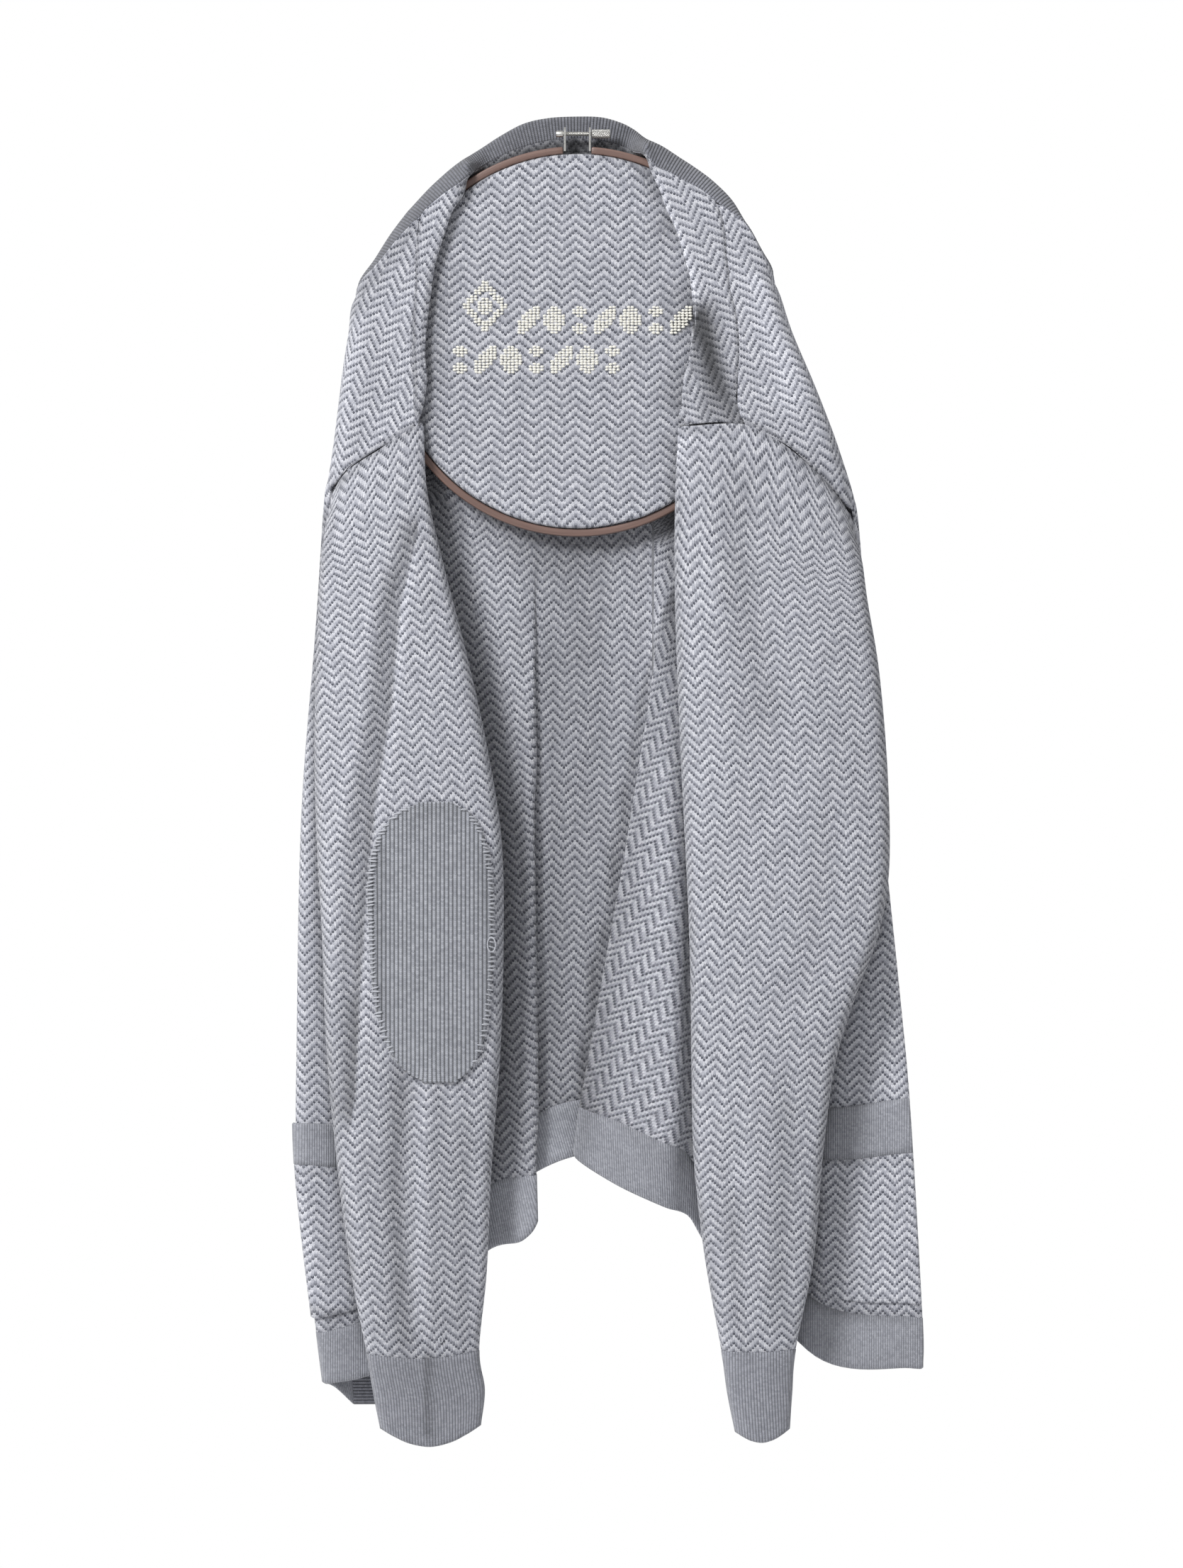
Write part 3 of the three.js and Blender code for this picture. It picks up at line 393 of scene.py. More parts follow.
def linear(red, green, blue):
    """Scene colour from 0-255 display values."""
    values = [channel / 255 for channel in (red, green, blue)]
    return tuple(v / 12.92 if v <= 0.04045 else ((v + 0.055) / 1.055) ** 2.4 for v in values) + (1.0,)


WALE = 0.00155
COURSE = 0.00151
RIB_COURSE = 0.0013
BAND_WALES = 5
STRIPE_COURSES = 4
STRIPE_CLIMB = 1.15


def herringbone_knit():
    """Light and speckled stripes that climb across five stitches, then break and climb the other way."""
    finish = Finish("herringbone_knit", 0.95)
    uv, column, row, odd, leg, rise = finish.stitches(WALE, COURSE)
    band = (column / BAND_WALES).calc("FLOOR")
    odd_band = band.is_odd()
    climb = (column - band * BAND_WALES) * (odd_band * (-2 * STRIPE_CLIMB) + STRIPE_CLIMB)
    breaks = odd_band * (BAND_WALES * STRIPE_CLIMB + STRIPE_COURSES / 2) + climb
    light = ((row + breaks) / STRIPE_COURSES).calc("FRACT").calc("LESS_THAN", 0.5)
    mottle = (column + row).is_odd() * 0.62 + odd * 0.38
    dark = finish.between(mottle, linear(80, 83, 95), linear(178, 180, 191))
    pale = finish.between(odd, linear(186, 188, 198), linear(228, 229, 236))
    height = (1 - abs(leg - 0.5) * 2) ** 0.6 * (1 - rise * 0.6)
    fuzz = finish.noise(uv, 2600.0)
    # Painted shade in the stitch valleys, from the stitch height, times random fuzz and mottle in the wool's tone.
    valley_shade_and_mottle = (height * 0.34 + fuzz * 0.3 + 0.59) * (finish.noise(uv, 60.0, 3.0) * 0.22 + 0.89)
    finish.wool(finish.between(light, dark, pale), valley_shade_and_mottle)
    finish.bump(fuzz * 0.35 + height, 0.00045, 0.9)
    return finish.material


def ribbed_knit(name, pitch, low, high, depth, valley_shade):
    """Plain heathered wool in narrow ribs."""
    finish = Finish(name, 0.95)
    uv, _, _, odd, leg, rise = finish.stitches(pitch, RIB_COURSE)
    height = (1 - leg**2.5) * (1 - rise * 0.25)
    fuzz = finish.noise(uv, 2200.0, 3.0)
    # Painted shade in the rib valleys, from the stitch height, times random mottle in the wool's tone.
    valley_shade_and_mottle = (height * valley_shade + (1 - valley_shade)) * (finish.noise(uv, 45.0, 3.0) * 0.24 + 0.88)
    finish.wool(finish.between(fuzz * 0.7 + odd * 0.3, linear(*low), linear(*high)), valley_shade_and_mottle)
    finish.bump(fuzz * 0.3 + height, depth)
    return finish.material


def yarn(name, low, high):
    finish = Finish(name, 0.9)
    fibres = finish.noise(finish.own_place(), 2400.0, 3.0)
    finish.wool(finish.between(fibres, linear(*low), linear(*high)), None, 0.3)
    finish.bump(fibres, 0.0003, 0.8)
    return finish.material


def hoop_wood():
    """Varnished reddish wood with its grain running round the hoop."""
    finish = Finish("hoop_wood", 0.42)
    x, y, z = finish.parts(finish.own_place())
    height = z - HOOP_CENTRE * MM
    radius = (x * x + height * height).calc("SQRT")
    place = finish.joined(height.calc("ARCTAN2", x) * 0.9, radius * 220, y * 220)
    grain = finish.noise(place, 2.2, 6.0, 0.6)
    streak = finish.noise(place, 9.0, 3.0, 0.7)
    base = finish.between(grain, linear(62, 45, 42), linear(150, 121, 110))
    worn = finish.between(streak * 0.5, base, linear(92, 70, 64))
    finish.set(Base_Color=worn, Coat_Weight=0.25, Coat_Roughness=0.3)
    finish.bump(grain + streak, 0.00025, 0.5)
    return finish.material


def screw_steel(name, knurl=0.0):
    """Plated steel, with crossed ridges of the given pitch where it is knurled."""
    finish = Finish(name, 0.28, 1.0)
    place = finish.own_place()
    scuffs = finish.noise(place, 900.0, 4.0, 0.7)
    finish.set(
        Base_Color=finish.between(scuffs, linear(176, 175, 172), linear(236, 235, 231)),
        Roughness=scuffs * 0.25 + 0.18,
    )
    if knurl:
        x, y, z = finish.parts(place)
        turn = z.calc("ARCTAN2", y) * 0.003
        one, other = (abs((way * (math.pi / knurl)).calc("SINE")) for way in (x + turn, x - turn))
        finish.bump(one * other, 0.0003)
    else:
        finish.bump(scuffs, 0.00006, 0.4)
    return finish.material


HERRINGBONE = herringbone_knit()
HEM_RIB = ribbed_knit("hem_rib", 0.0015, (108, 110, 119), (184, 186, 194), 0.0004, 0.34)
CUFF_RIB = ribbed_knit("cuff_rib", 0.0019, (106, 108, 118), (184, 186, 195), 0.0006, 0.42)
PATCH_RIB = ribbed_knit("patch_rib", 0.0027, (110, 113, 123), (206, 209, 217), 0.0011, 0.66)
BAND_RIB = ribbed_knit("band_rib", 0.0021, (96, 98, 108), (172, 174, 184), 0.0009, 0.62)
DARNING_YARN = yarn("darning_yarn", (118, 121, 130), (214, 216, 222))
MOTIF_YARN = yarn("motif_yarn", (206, 204, 194), (244, 242, 234))
WOOD = hoop_wood()
STEEL = screw_steel("screw_steel")
KNURLED = screw_steel("knurled_steel", 0.0011)

# ---------------------------------------------------------------- armholes

LEFT_ARMHOLE = [
    (-101.5, -12, -192), (-106, -15.6, -192.5), (-112, -16.4, -196), (-120, -16.6, -201),
    (-130, -16, -208), (-140, -14.2, -214), (-150, -11, -221), (-157, -5, -230),
    (-161, 3, -239), (-157, 3.4, -238), (-150, 1, -234), (-142, -1.5, -228),
    (-134, -5, -222), (-124, -7.5, -216), (-114, -10, -209), (-106, -11.8, -200),
]
RIGHT_ARMHOLE = [
    (67, -13, -193), (78, -16.6, -192), (92, -18, -191), (109, -17.4, -191),
    (124, -17.6, -197), (140, -17, -208), (158, -14.6, -224), (173, -9, -242),
    (181, 2, -257), (172, 3, -252), (160, 1, -245), (146, -2, -237),
    (130, -8, -228), (112, -12, -218), (94, -12.8, -208), (78, -13, -199),
]
UNDERARM_LAP = [0, 0, 0, 0, 0, 0, 0.2, 0.6, 1, 1, 1, 0.9, 0.75, 0.6, 0.5, 0.35]


def armhole_side(places, up):
    """The panels' side of an armhole (up 1) or the sleeve's side, which hangs in front (up -1)."""
    return [point(x, y + up * 1.7 * lap, z + up * 0.75) for (x, y, z), lap in zip(places, UNDERARM_LAP)]


LEFT_PANEL_EDGE = armhole_side(LEFT_ARMHOLE, 1)
RIGHT_PANEL_EDGE = armhole_side(RIGHT_ARMHOLE, 1)

# ---------------------------------------------------------------- back

LEFT_FOLD = [(126, 123), (134, 118.5), (142, 112), (150, 107), (165, 100.5), (180, 100), (195, 103), (206, 113)]
LEFT_SEAM = [
    (126, 128.5), (134, 130), (142, 131), (148, 123.8), (160, 112), (173, 107.8), (190, 109.5), (206, 117.5),
]
RIGHT_FOLD = [(66, 121), (56, 105), (45, 95.5), (35, 89), (19, 82), (3, 77.5), (-13, 76), (-27, 80)]
RIGHT_SEAM = [
    (66, 125.2), (56, 125.6), (46, 129), (40, 124), (30, 113), (19, 105.8), (-2, 106), (-14, 108.5), (-22, 114),
    (-27, 121.5),
]


def ring_path(degrees, places):
    return [around_hoop(degrees, radius, y) for radius, y in places]


def folded_column(degrees, fold, seam):
    places = [
        (TURN_RADIUS - 2, BEHIND_Y), (TURN_RADIUS, 5), (TURN_RADIUS, -4), (TURN_RADIUS - 2, -9),
        (fold + 3, UNDER_Y), (fold, (UNDER_Y + FRONT_Y) / 2), (fold + 3, FRONT_Y), (seam, FRONT_Y),
    ]
    return ring_path(degrees, places)


def plain_column(degrees, end, swing):
    start = around_hoop(degrees, BEHIND_RADIUS, BEHIND_Y)
    control = around_hoop(degrees, swing, BEHIND_Y + 0.6)
    return [mix(mix(start, control, t), mix(control, end, t), t) for t in np.linspace(0.125, 1, 8)]


T = TURN_RADIUS
WRAP_BEHIND = [
    (T - 2, 8.2), (T - 0.8, 6.5), (T, 5.2), (T + 0.2, 4.5), (T + 0.3, 3.8), (T + 0.4, 3.2), (T + 0.5, 2.6),
    (T + 0.6, 2),
]
WRAP_BESIDE = [
    (T - 2, 8.2), (T - 0.2, 5.6), (T, 1), (T + 0.1, -1.5), (T + 0.2, -3), (T + 0.3, -4.5), (T + 0.3, -6),
    (T + 0.4, -7.2),
]
WRAP_BEFORE = [
    (T - 2, 8.2), (T, 5), (T, -4), (T - 1, -8), (T - 1.8, -9.6), (T - 2.2, -11), (T - 1.8, -12.5), (T - 1.2, -13.5),
]
DROP_STEPS = [0.06, 0.15, 0.27, 0.41, 0.55, 0.7, 0.85, 1]

# angle on the ring, hem seam, lower edge, sideways bow: left side seam to right side seam
BACK_HEM = [
    (238, (-95, 10, -735), (-97, 11, -774), 0),
    (246, (-58, 5, -692), (-60, 5, -734), 0),
    (252, (-36, -1, -685), (-36, -2, -726), 0),
    (256, (-28, 1, -682), (-27, 0, -712), 0),
    (259, (-46, 11, -662), (-44, 11, -696), 0),
    (265, (-20, 10, -641), (-20, 10, -678), 0),
    (275, (10, 10, -634), (10, 10, -669), 0),
    (288, (45, 12, -634), (45, 12, -669), 0),
    (293, (52, 7, -636), (52, 7, -670), 0),
    (296, (24, 1, -638), (22, 1, -670), 4),
    (299, (2, -5, -639), (-2, -5, -670), 7),
    (302, (26, -9, -648), (24, -9, -688), 6),
    (305.5, (56, -10, -662), (56, -10, -703), 4),
    (308.5, (71, -2, -669), (72, -2, -709), 2),
    (311, (92, 8, -688), (94, 8, -727), 0),
]
LEFT_HEM_CORNER = point(*BACK_HEM[0][1])
RIGHT_HEM_CORNER = point(*BACK_HEM[-1][1])


def hanging_column(degrees, end, bow=0.0):
    start = around_hoop(degrees, BEHIND_RADIUS, BEHIND_Y)
    path = []
    for t in DROP_STEPS:
        place = mix(start, end, t)
        place[0] += bow * math.sin(math.pi * math.sqrt(t))
        place[1] = mix(start[1] + 1, end[1], t**0.7)
        path.append(place)
    return path


def end_at(path, end):
    eased = mix(path[6], mix(path[5], end, 0.35), 0.6)
    eased[1] = path[6][1]
    return [*path[:6], eased, end.copy()]


def under_column(degrees, end):
    wrap = ring_path(degrees, [(T - 2, BEHIND_Y), (T, 5), (T, -4), (T - 2, -9)])
    for t in (0.25, 0.5, 0.75, 1):
        place = mix(wrap[3], end, t)
        place[1] = mix(wrap[3][1], end[1], t**2)
        wrap.append(place)
    return wrap


def back_columns():
    """Every column outside the ring, clockwise from the nape.

    Each is (angle, eight points, whether it is still behind at the neck).
    """
    columns = []

    def column(degrees, path, wraps=False):
        columns.append((degrees, path, wraps))

    def neck(degrees, radius, y):
        column(degrees, plain_column(degrees, around_hoop(degrees, radius, y), NAPE_SWING))

    def folded(degrees, folds, seams):
        column(degrees, folded_column(degrees, curve_at(folds, degrees), curve_at(seams, degrees)))

    for degrees, radius, y in ((90, 134.5, 10), (84, 133.8, 10), (79, 133, 9.6), (75.5, 132, 8.6)):
        neck(degrees, radius, y)
    column(72.5, ring_path(72.5, WRAP_BEHIND), True)
    column(70.7, ring_path(70.7, WRAP_BESIDE), True)
    column(69, ring_path(69, WRAP_BEFORE))
    for degrees in (66, 61, 56, 50, 44, 37, 30, 24, 19, 11, 3, -5.5, -14):
        folded(degrees, RIGHT_FOLD, RIGHT_SEAM)
    column(-20, end_at(folded_column(-20, 77, 112), point(104, FRONT_Y - 1, -176)))
    column(-27, end_at(folded_column(-27, 80, 120), RIGHT_PANEL_EDGE[3]))
    column(-32, end_at(folded_column(-32, 83, 104), RIGHT_PANEL_EDGE[2]))
    column(-36, end_at(folded_column(-36, 86, 94), RIGHT_PANEL_EDGE[1]))
    for degrees, key in ((-38.5, 0), (-40, 15), (-41.5, 14)):
        column(degrees, under_column(degrees, RIGHT_PANEL_EDGE[key]))
    for degrees, key in ((-42.7, 12), (-43.8, 10), (-45, 8)):
        column(degrees, plain_column(degrees, RIGHT_PANEL_EDGE[key], UNDERARM_SWING))
    for degrees, t in ((-45.9, 0.2), (-46.8, 0.45), (-47.9, 0.72)):
        column(degrees, hanging_column(degrees, mix(RIGHT_PANEL_EDGE[8], RIGHT_HEM_CORNER, t)))
    for ring, seam, _, bow in reversed(BACK_HEM):
        column(ring - 360, hanging_column(ring, point(*seam), bow))
    for degrees, t in ((-123.6, 0.72), (-125, 0.45), (-126.4, 0.2)):
        column(degrees, hanging_column(degrees, mix(LEFT_PANEL_EDGE[8], LEFT_HEM_CORNER, t)))
    for degrees, key in ((-128.5, 8), (-133, 10), (-138.5, 12), (-144, 14)):
        column(degrees, plain_column(degrees, LEFT_PANEL_EDGE[key], UNDERARM_SWING))
    column(-149, under_column(-149, LEFT_PANEL_EDGE[15]))
    column(-152, under_column(-152, LEFT_PANEL_EDGE[0]))
    column(-156, end_at(folded_column(-156, 112, 117), LEFT_PANEL_EDGE[1]))
    for degrees in (195, 186, 177, 168, 160, 153, 147, 141, 134, 128):
        folded(degrees, LEFT_FOLD, LEFT_SEAM)
    column(124.5, ring_path(124.5, WRAP_BEFORE))
    column(122, ring_path(122, WRAP_BESIDE), True)
    column(120, ring_path(120, WRAP_BEHIND), True)
    for degrees, radius, y in ((116, 132, 8.6), (110, 133, 9.6), (103.5, 133.8, 10), (97, 134.3, 10)):
        neck(degrees, radius, y)
    return columns


BACK_COLUMNS = back_columns()
RING_STEPS = [
    (0, DISC_Y - 0.5), (100, DISC_Y), (118.8, DISC_Y), (GRIP_RADIUS - 0.2, DISC_Y + 0.9),
    (GRIP_RADIUS, DISC_Y + 3.4), (GRIP_RADIUS, 5.2), (BEHIND_RADIUS, BEHIND_Y + 0.4),
]


def finer(keys, parts):
    """Positions through keys 0..n, each span cut into parts."""
    return np.linspace(0, keys, keys * parts + 1)


def back_sections():
    sections = [[around_hoop(degrees, radius, y) for degrees, _, _ in BACK_COLUMNS] for radius, y in RING_STEPS]
    sections += [[path[step] for _, path, _ in BACK_COLUMNS] for step in range(len(DROP_STEPS))]
    return sections


HOOP_STRETCH = 0.84
RING_ROW = 6
FLAP_ROW = 11
LEFT_GRAIN = math.radians(15)
RIGHT_GRAIN = math.radians(-24)
WEDGE_GRAIN = math.radians(20)


def turned(places, angle):
    cos, sin = np.cos(angle), np.sin(angle)
    across, up = places[..., 0], places[..., 1]
    return np.stack([across * cos - up * sin, across * sin + up * cos], axis=-1)


def back_knit_place(grid, rows, degrees):
    """Knit coordinates: flat over the hoop, along its own grain on each folded shoulder, upright where it hangs."""
    angles = np.radians(degrees)
    across, up = grid[..., 0], grid[..., 2] - HOOP_CENTRE
    level = np.stack([across, up], axis=-1)
    stretch = mix(HOOP_STRETCH, 1.0, smooth_step(2, RING_ROW, rows))[:, None]
    flat = np.stack([across * stretch, up], axis=-1)
    first = int(np.argmin(np.abs(rows - RING_ROW)))
    run = step_lengths(grid, 0, [0, 1, 2])
    run = np.maximum(run - run[first], 0)[..., None]
    rolled = flat[first][None] + np.stack([np.cos(angles), np.sin(angles)], axis=-1)[None] * run
    for grain, start, end in ((RIGHT_GRAIN, -37, 70), (LEFT_GRAIN, 123, 205)):
        on_flap = smooth_step(start - 1.5, start, degrees) * smooth_step(end + 1.5, end, degrees)
        share = on_flap[None] * smooth_step(FLAP_ROW - 3, FLAP_ROW - 0.5, rows)[:, None]
        rolled = mix(rolled, turned(level, grain), share[..., None])
    length = step_lengths(grid, 1, [0, 1])
    middle = int(np.argmin(np.abs(degrees + 90)))
    length = length[:, middle][:, None] - length
    for corner, beyond in ((-49, degrees > -49), (-122, degrees < -122)):
        column = int(np.argmin(np.abs(degrees - corner)))
        slack = (length - across)[::-1, column]
        length = np.where(beyond[None], across + np.interp(up, up[::-1, column], slack), length)
    wedge = smooth_step(-67, -66.4, degrees)[None] * WEDGE_GRAIN
    pivot = length[:, [int(np.argmin(np.abs(degrees + 61)))]]
    hung = turned(np.stack([length - pivot, up], axis=-1), wedge)
    hung[..., 0] += pivot
    hangs = smooth_step(-131, -126, degrees) * smooth_step(-43.5, -45.5, degrees)
    share = hangs[None] * smooth_step(RING_ROW, RING_ROW + 1, rows)[:, None]
    outside = mix(rolled, hung, share[..., None])
    return np.where((rows <= RING_ROW)[:, None, None], flat, outside)


BACK_CREASES = [
    ([(-29, -300), (-29, -389), (-29, -520), (-28, -680)], 9, 5, 2.2),
    ([(-12, -330), (-10, -450), (-8, -620)], 8, 10, -1.4),
    ([(60, -400), (62, -520), (62, -690)], 9, 8, 2.0),
    ([(-5, -275), (-2, -330), (6, -420)], 12, 12, 1.6),
    ([(36, -275), (33, -340), (28, -400)], 8, 8, 1.4),
    ([(80, -112), (88, -145), (101, -180)], 7, 9, -1.8),
    ([(-101, -75), (-103, -120), (-101, -170)], 7, 5, -0.8),
]


LEFT_SLEEVE_EDGE = [
    (-104, -197), (-93, -254), (-81, -306), (-68, -358), (-58, -410), (-50, -461), (-49, -517), (-50, -589),
    (-57, -684), (-62, -779),
]
RIGHT_SLEEVE_EDGE = [
    (65, -208), (64, -266), (65, -306), (67, -358), (70, -441), (74, -517), (75, -613), (76, -672), (81, -720),
]
# Painted shade on the back: shadows cast by the flaps, the sleeves and the ring, and shade in its folds and seams;
# negative amounts paint highlight.
DISC_SHADES = [
    ([
        (-66, -29), (-78, -37), (-89, -61), (-93, -81), (-97, -110), (-100, -164), (-102, -189), (-101, -216),
    ], 8, 8, 0.4),
    ([(40, -17), (59, -50), (73, -85), (78, -109), (78, -120), (74, -154), (69, -192), (64, -250)], 9, 6, 0.42),
    ([(-62, -24), (-30, -16), (0, -13), (36, -18)], 5, 5, 0.2),
    ([(-60, -137), (40, -137)], 110, 110, 0.12),
]
FLAP_SHADES = [
    ([(80, -118), (90, -154), (103, -187)], 8, 9, 0.58),
    ([(78, -122), (74, -156), (69, -192)], 3, 3, 0.3),
    ([(84, -122), (84, -190)], 12, 8, 0.34),
    ([(59, -52), (72, -86), (77, -108)], 4, 4, -0.1),
    ([(93, -47), (100, -102), (105, -123), (105, -164), (109, -191)], 3.5, 1.5, 0.35),
    ([(-103, -55), (-105, -71), (-107, -123), (-105, -185)], 1.5, 4, 0.35),
    ([(-96, -90), (-99, -130), (-101, -180)], 3, 3, 0.16),
]
HANG_SHADES = [
    ([(-128, -150), (-110, -205), (-72, -245), (-20, -266), (30, -263), (66, -245)], 12, 14, 0.2),
    ([(-100, -236), (-60, -262), (-15, -278), (35, -274), (66, -262)], 14, 14, 0.12),
    (LEFT_SLEEVE_EDGE, 12, 13, 0.45),
    (RIGHT_SLEEVE_EDGE, 10, 8, 0.42),
    ([(-8, -290), (-6, -640)], 38, 38, 0.33),
    ([(60, -308), (43, -368), (28, -451), (20, -517), (12, -541), (4, -608), (0, -680)], 12, 2.5, 0.36),
    ([(63, -315), (47, -375), (33, -455), (25, -521), (17, -545), (12, -608), (7, -637)], 3, 6, -0.1),
    ([(-27, -389), (-26, -520), (-25, -700)], 1.5, 9, 0.22),
    ([(-33, -389), (-33, -520), (-32, -700)], 6, 2, -0.08),
]


def back_shade(grid, rows, degrees):
    # Painted shade for the back: the disc, the folded flaps and the hanging cloth take their own lines, and the
    # nape under the neckband is painted dark.
    flat, flap, hanging = (soft_lines(grid, lines) for lines in (DISC_SHADES, FLAP_SHADES, HANG_SHADES))
    nape = smooth_step(62, 70, degrees) * smooth_step(134, 122, degrees)
    nape_shade = 0.84 - 0.2 * smooth_step(10, 14, rows)[:, None]
    hangs = (degrees < -40) & (degrees > -150)
    outside = np.where(hangs, hanging, mix(flap, nape_shade, nape))
    return mix(flat, outside, smooth_step(RING_ROW - 3, RING_ROW, rows)[:, None])


def build_back():
    columns = finer(len(BACK_COLUMNS), 5)[:-1]
    last = RING_ROW + len(DROP_STEPS)
    rows = np.concatenate([finer(2, 4), 2 + finer(RING_ROW - 2, 3)[1:], RING_ROW + finer(last - RING_ROW, 8)[1:]])
    grid = surface(back_sections(), columns, rows, closed=True)
    keys = [degrees for degrees, _, _ in BACK_COLUMNS]
    split = next(i for i, degrees in enumerate(keys) if degrees > 190)
    keys = np.array(keys[:split] + [degrees - 360 for degrees in keys[split:]] + [-270.0])
    degrees = np.interp(columns, np.arange(len(keys)), keys)
    degrees = np.where(degrees < -154, degrees + 360, degrees)
    uv = back_knit_place(grid, rows, degrees)
    piece = cloth_piece(
        "back_panel", grid, np.concatenate([uv, uv[:, :1]], axis=1), KNIT, HERRINGBONE, closed=True,
        gaps=(0, SEAM_GAP, 0, 0), creases=BACK_CREASES, shades=back_shade(grid, rows, degrees),
        pole=point(0, -1, 0),
    )
    return add(piece, "herringbone_knit", "back")


# Painted highlight over the left of the back hem, and painted shade along its folds and beside the sleeve.
HEM_SHADES = [
    ([(-90, -720), (-30, -690)], 40, 40, -0.28),
    ([(-27, -680), (-25, -730)], 1.5, 7, 0.2),
    ([(4, -640), (-2, -680)], 9, 2.5, 0.3),
    ([(72, -670), (90, -720)], 10, 8, 0.2),
]


def build_back_hem():
    seams = [path[-1] for _, path, _ in BACK_COLUMNS]
    first = next(i for i, seam in enumerate(seams) if np.allclose(seam, RIGHT_HEM_CORNER))
    drops = [point(*edge) - point(*seam) for _, seam, edge, _ in reversed(BACK_HEM)]
    edges = [seam + drops[min(max(i - first, 0), len(drops) - 1)] for i, seam in enumerate(seams)]
    grid = surface([seams, edges], first + finer(len(drops) - 1, 8), finer(1, 8))
    uv = np.stack([step_lengths(grid, 1, [0, 1]), -step_lengths(grid, 0, [0, 2])], axis=-1)
    piece = cloth_piece(
        "back_hem", grid, uv, RIB, HEM_RIB, gaps=(SEAM_GAP, 0, SEAM_GAP, SEAM_GAP), creases=BACK_CREASES,
        shades=HEM_SHADES,
    )
    return add(piece, "rib_knit", "hem_back")


# ---------------------------------------------------------------- fronts


def front_row(inner, outline, edge, front_y, turn, droop=0, behind_in=7):
    outline, edge = point(*outline), point(*edge)
    brow_in = min(6, 0.4 * abs(outline[0] - inner[0]))
    brow = point(outline[0] + brow_in * turn, front_y, outline[2])
    behind = point(outline[0] + behind_in * turn, edge[1] - 1.5, mix(outline, edge, 0.3)[2])
    middle = mix(inner, brow, 0.5) - point(0, 0, droop)
    return [inner, middle, brow, outline, behind, edge]


def neck_row(inner, edge):
    edge = point(*edge)
    turn = point(mix(inner[0], edge[0], 0.97), FRONT_Y, mix(inner[2], edge[2], 0.97))
    return [mix(mix(inner, turn, t), mix(turn, edge, t), t) for t in np.linspace(0, 1, 6)]


def left_shoulder(degrees):
    return around_hoop(degrees, curve_at(LEFT_SEAM, degrees), FRONT_Y)


def right_shoulder(degrees):
    return around_hoop(degrees, curve_at(RIGHT_SEAM, degrees), FRONT_Y)


def left_side(t):
    return mix(LEFT_PANEL_EDGE[8], LEFT_HEM_CORNER, t)


def right_side(t):
    return mix(RIGHT_PANEL_EDGE[8], RIGHT_HEM_CORNER, t)


LEFT_FRONT_ROWS = [
    neck_row(left_shoulder(142), (-105.5, FRONT_Y, -58)),
    neck_row(left_shoulder(147), (-117, -14, -70)),
    neck_row(left_shoulder(153), (-128.5, -10.5, -84)),
    neck_row(left_shoulder(160), (-142.5, -2, -99)),
    front_row(left_shoulder(168), (-147, 1.5, -112), (-144, 11.5, -112.5), -11, 1, 0, 1.4),
    front_row(left_shoulder(177), (-149.5, 1, -131), (-131, 17, -135), -12, 1),
    front_row(left_shoulder(190), (-153.5, 1, -157), (-124, 19, -163), -12.5, 1),
    front_row(LEFT_PANEL_EDGE[1], (-158, 1, -194), (-116, 20, -204), -12.5, 1),
    front_row(LEFT_PANEL_EDGE[4], (-160.5, 1.5, -212), (-112, 20, -226), -10, 1),
    front_row(LEFT_PANEL_EDGE[6], (-163, 4, -227), (-110, 20, -247), -5, 1),
    front_row(LEFT_PANEL_EDGE[8], (-166, 10, -244), (-110, 20, -264), 6, 1),
    front_row(left_side(0.2), (-172, 12, -330), (-114, 21, -345), 7, 1),
    front_row(left_side(0.45), (-181, 12, -450), (-120, 22, -460), 5, 1),
    front_row(left_side(0.72), (-184, 11, -600), (-130, 23, -606), 3, 1),
    front_row(left_side(0.86), (-183, 10, -680), (-138, 24, -690), 2, 1, 8),
    front_row(LEFT_HEM_CORNER, (-171, 10, -787), (-148, 24, -800), 2, 1, 13),
    front_row(point(*BACK_HEM[0][2]), (-167, 10, -820), (-148, 24, -836), 2, 1, 14),
]
RIGHT_FRONT_ROWS = [
    neck_row(right_shoulder(44), (95.5, FRONT_Y, -49)),
    neck_row(right_shoulder(37), (109.5, -14.5, -60)),
    neck_row(right_shoulder(30), (120, -9.5, -77.5)),
    neck_row(right_shoulder(24), (127.2, -1.5, -91)),
    front_row(right_shoulder(19), (131.4, -0.5, -104), (129, 12, -104.5), -14, -1, 0, 1.2),
    front_row(right_shoulder(3), (140.5, 0, -131), (121, 17, -135), -13, -1),
    front_row(right_shoulder(-14), (154, 0, -163), (121, 19, -170), -14, -1),
    front_row(RIGHT_PANEL_EDGE[3], (165, 0, -191), (122, 20, -201), -14, -1),
    front_row(RIGHT_PANEL_EDGE[5], (171.5, 0, -209), (124, 20, -224), -12, -1),
    front_row(RIGHT_PANEL_EDGE[7], (180.5, 3, -238), (127, 20, -255), -3, -1),
    front_row(RIGHT_PANEL_EDGE[8], (184.5, 10, -261), (130, 20, -278), 6, -1),
    front_row(right_side(0.2), (191, 12, -343), (140, 21, -352), 7, -1),
    front_row(right_side(0.45), (200, 12, -451), (152, 22, -458), 5, -1),
    front_row(right_side(0.72), (211, 10, -565), (176, 23, -570), 4, -1),
    front_row(right_side(0.88), (217.5, 8, -645), (190, 24, -652), 2, -1, 10),
    front_row(RIGHT_HEM_CORNER, (224.6, 7, -777), (200, 24, -780), 1, -1, 33),
    front_row(point(*BACK_HEM[-1][2]), (225, 7, -810), (200, 24, -812), 1, -1, 34),
]
HEM_ROW = 15
PATCH_LIFT = 2.3
SHOULDER_GRAIN = math.radians(21)
FRONT_COLUMNS = finer(5, 12)


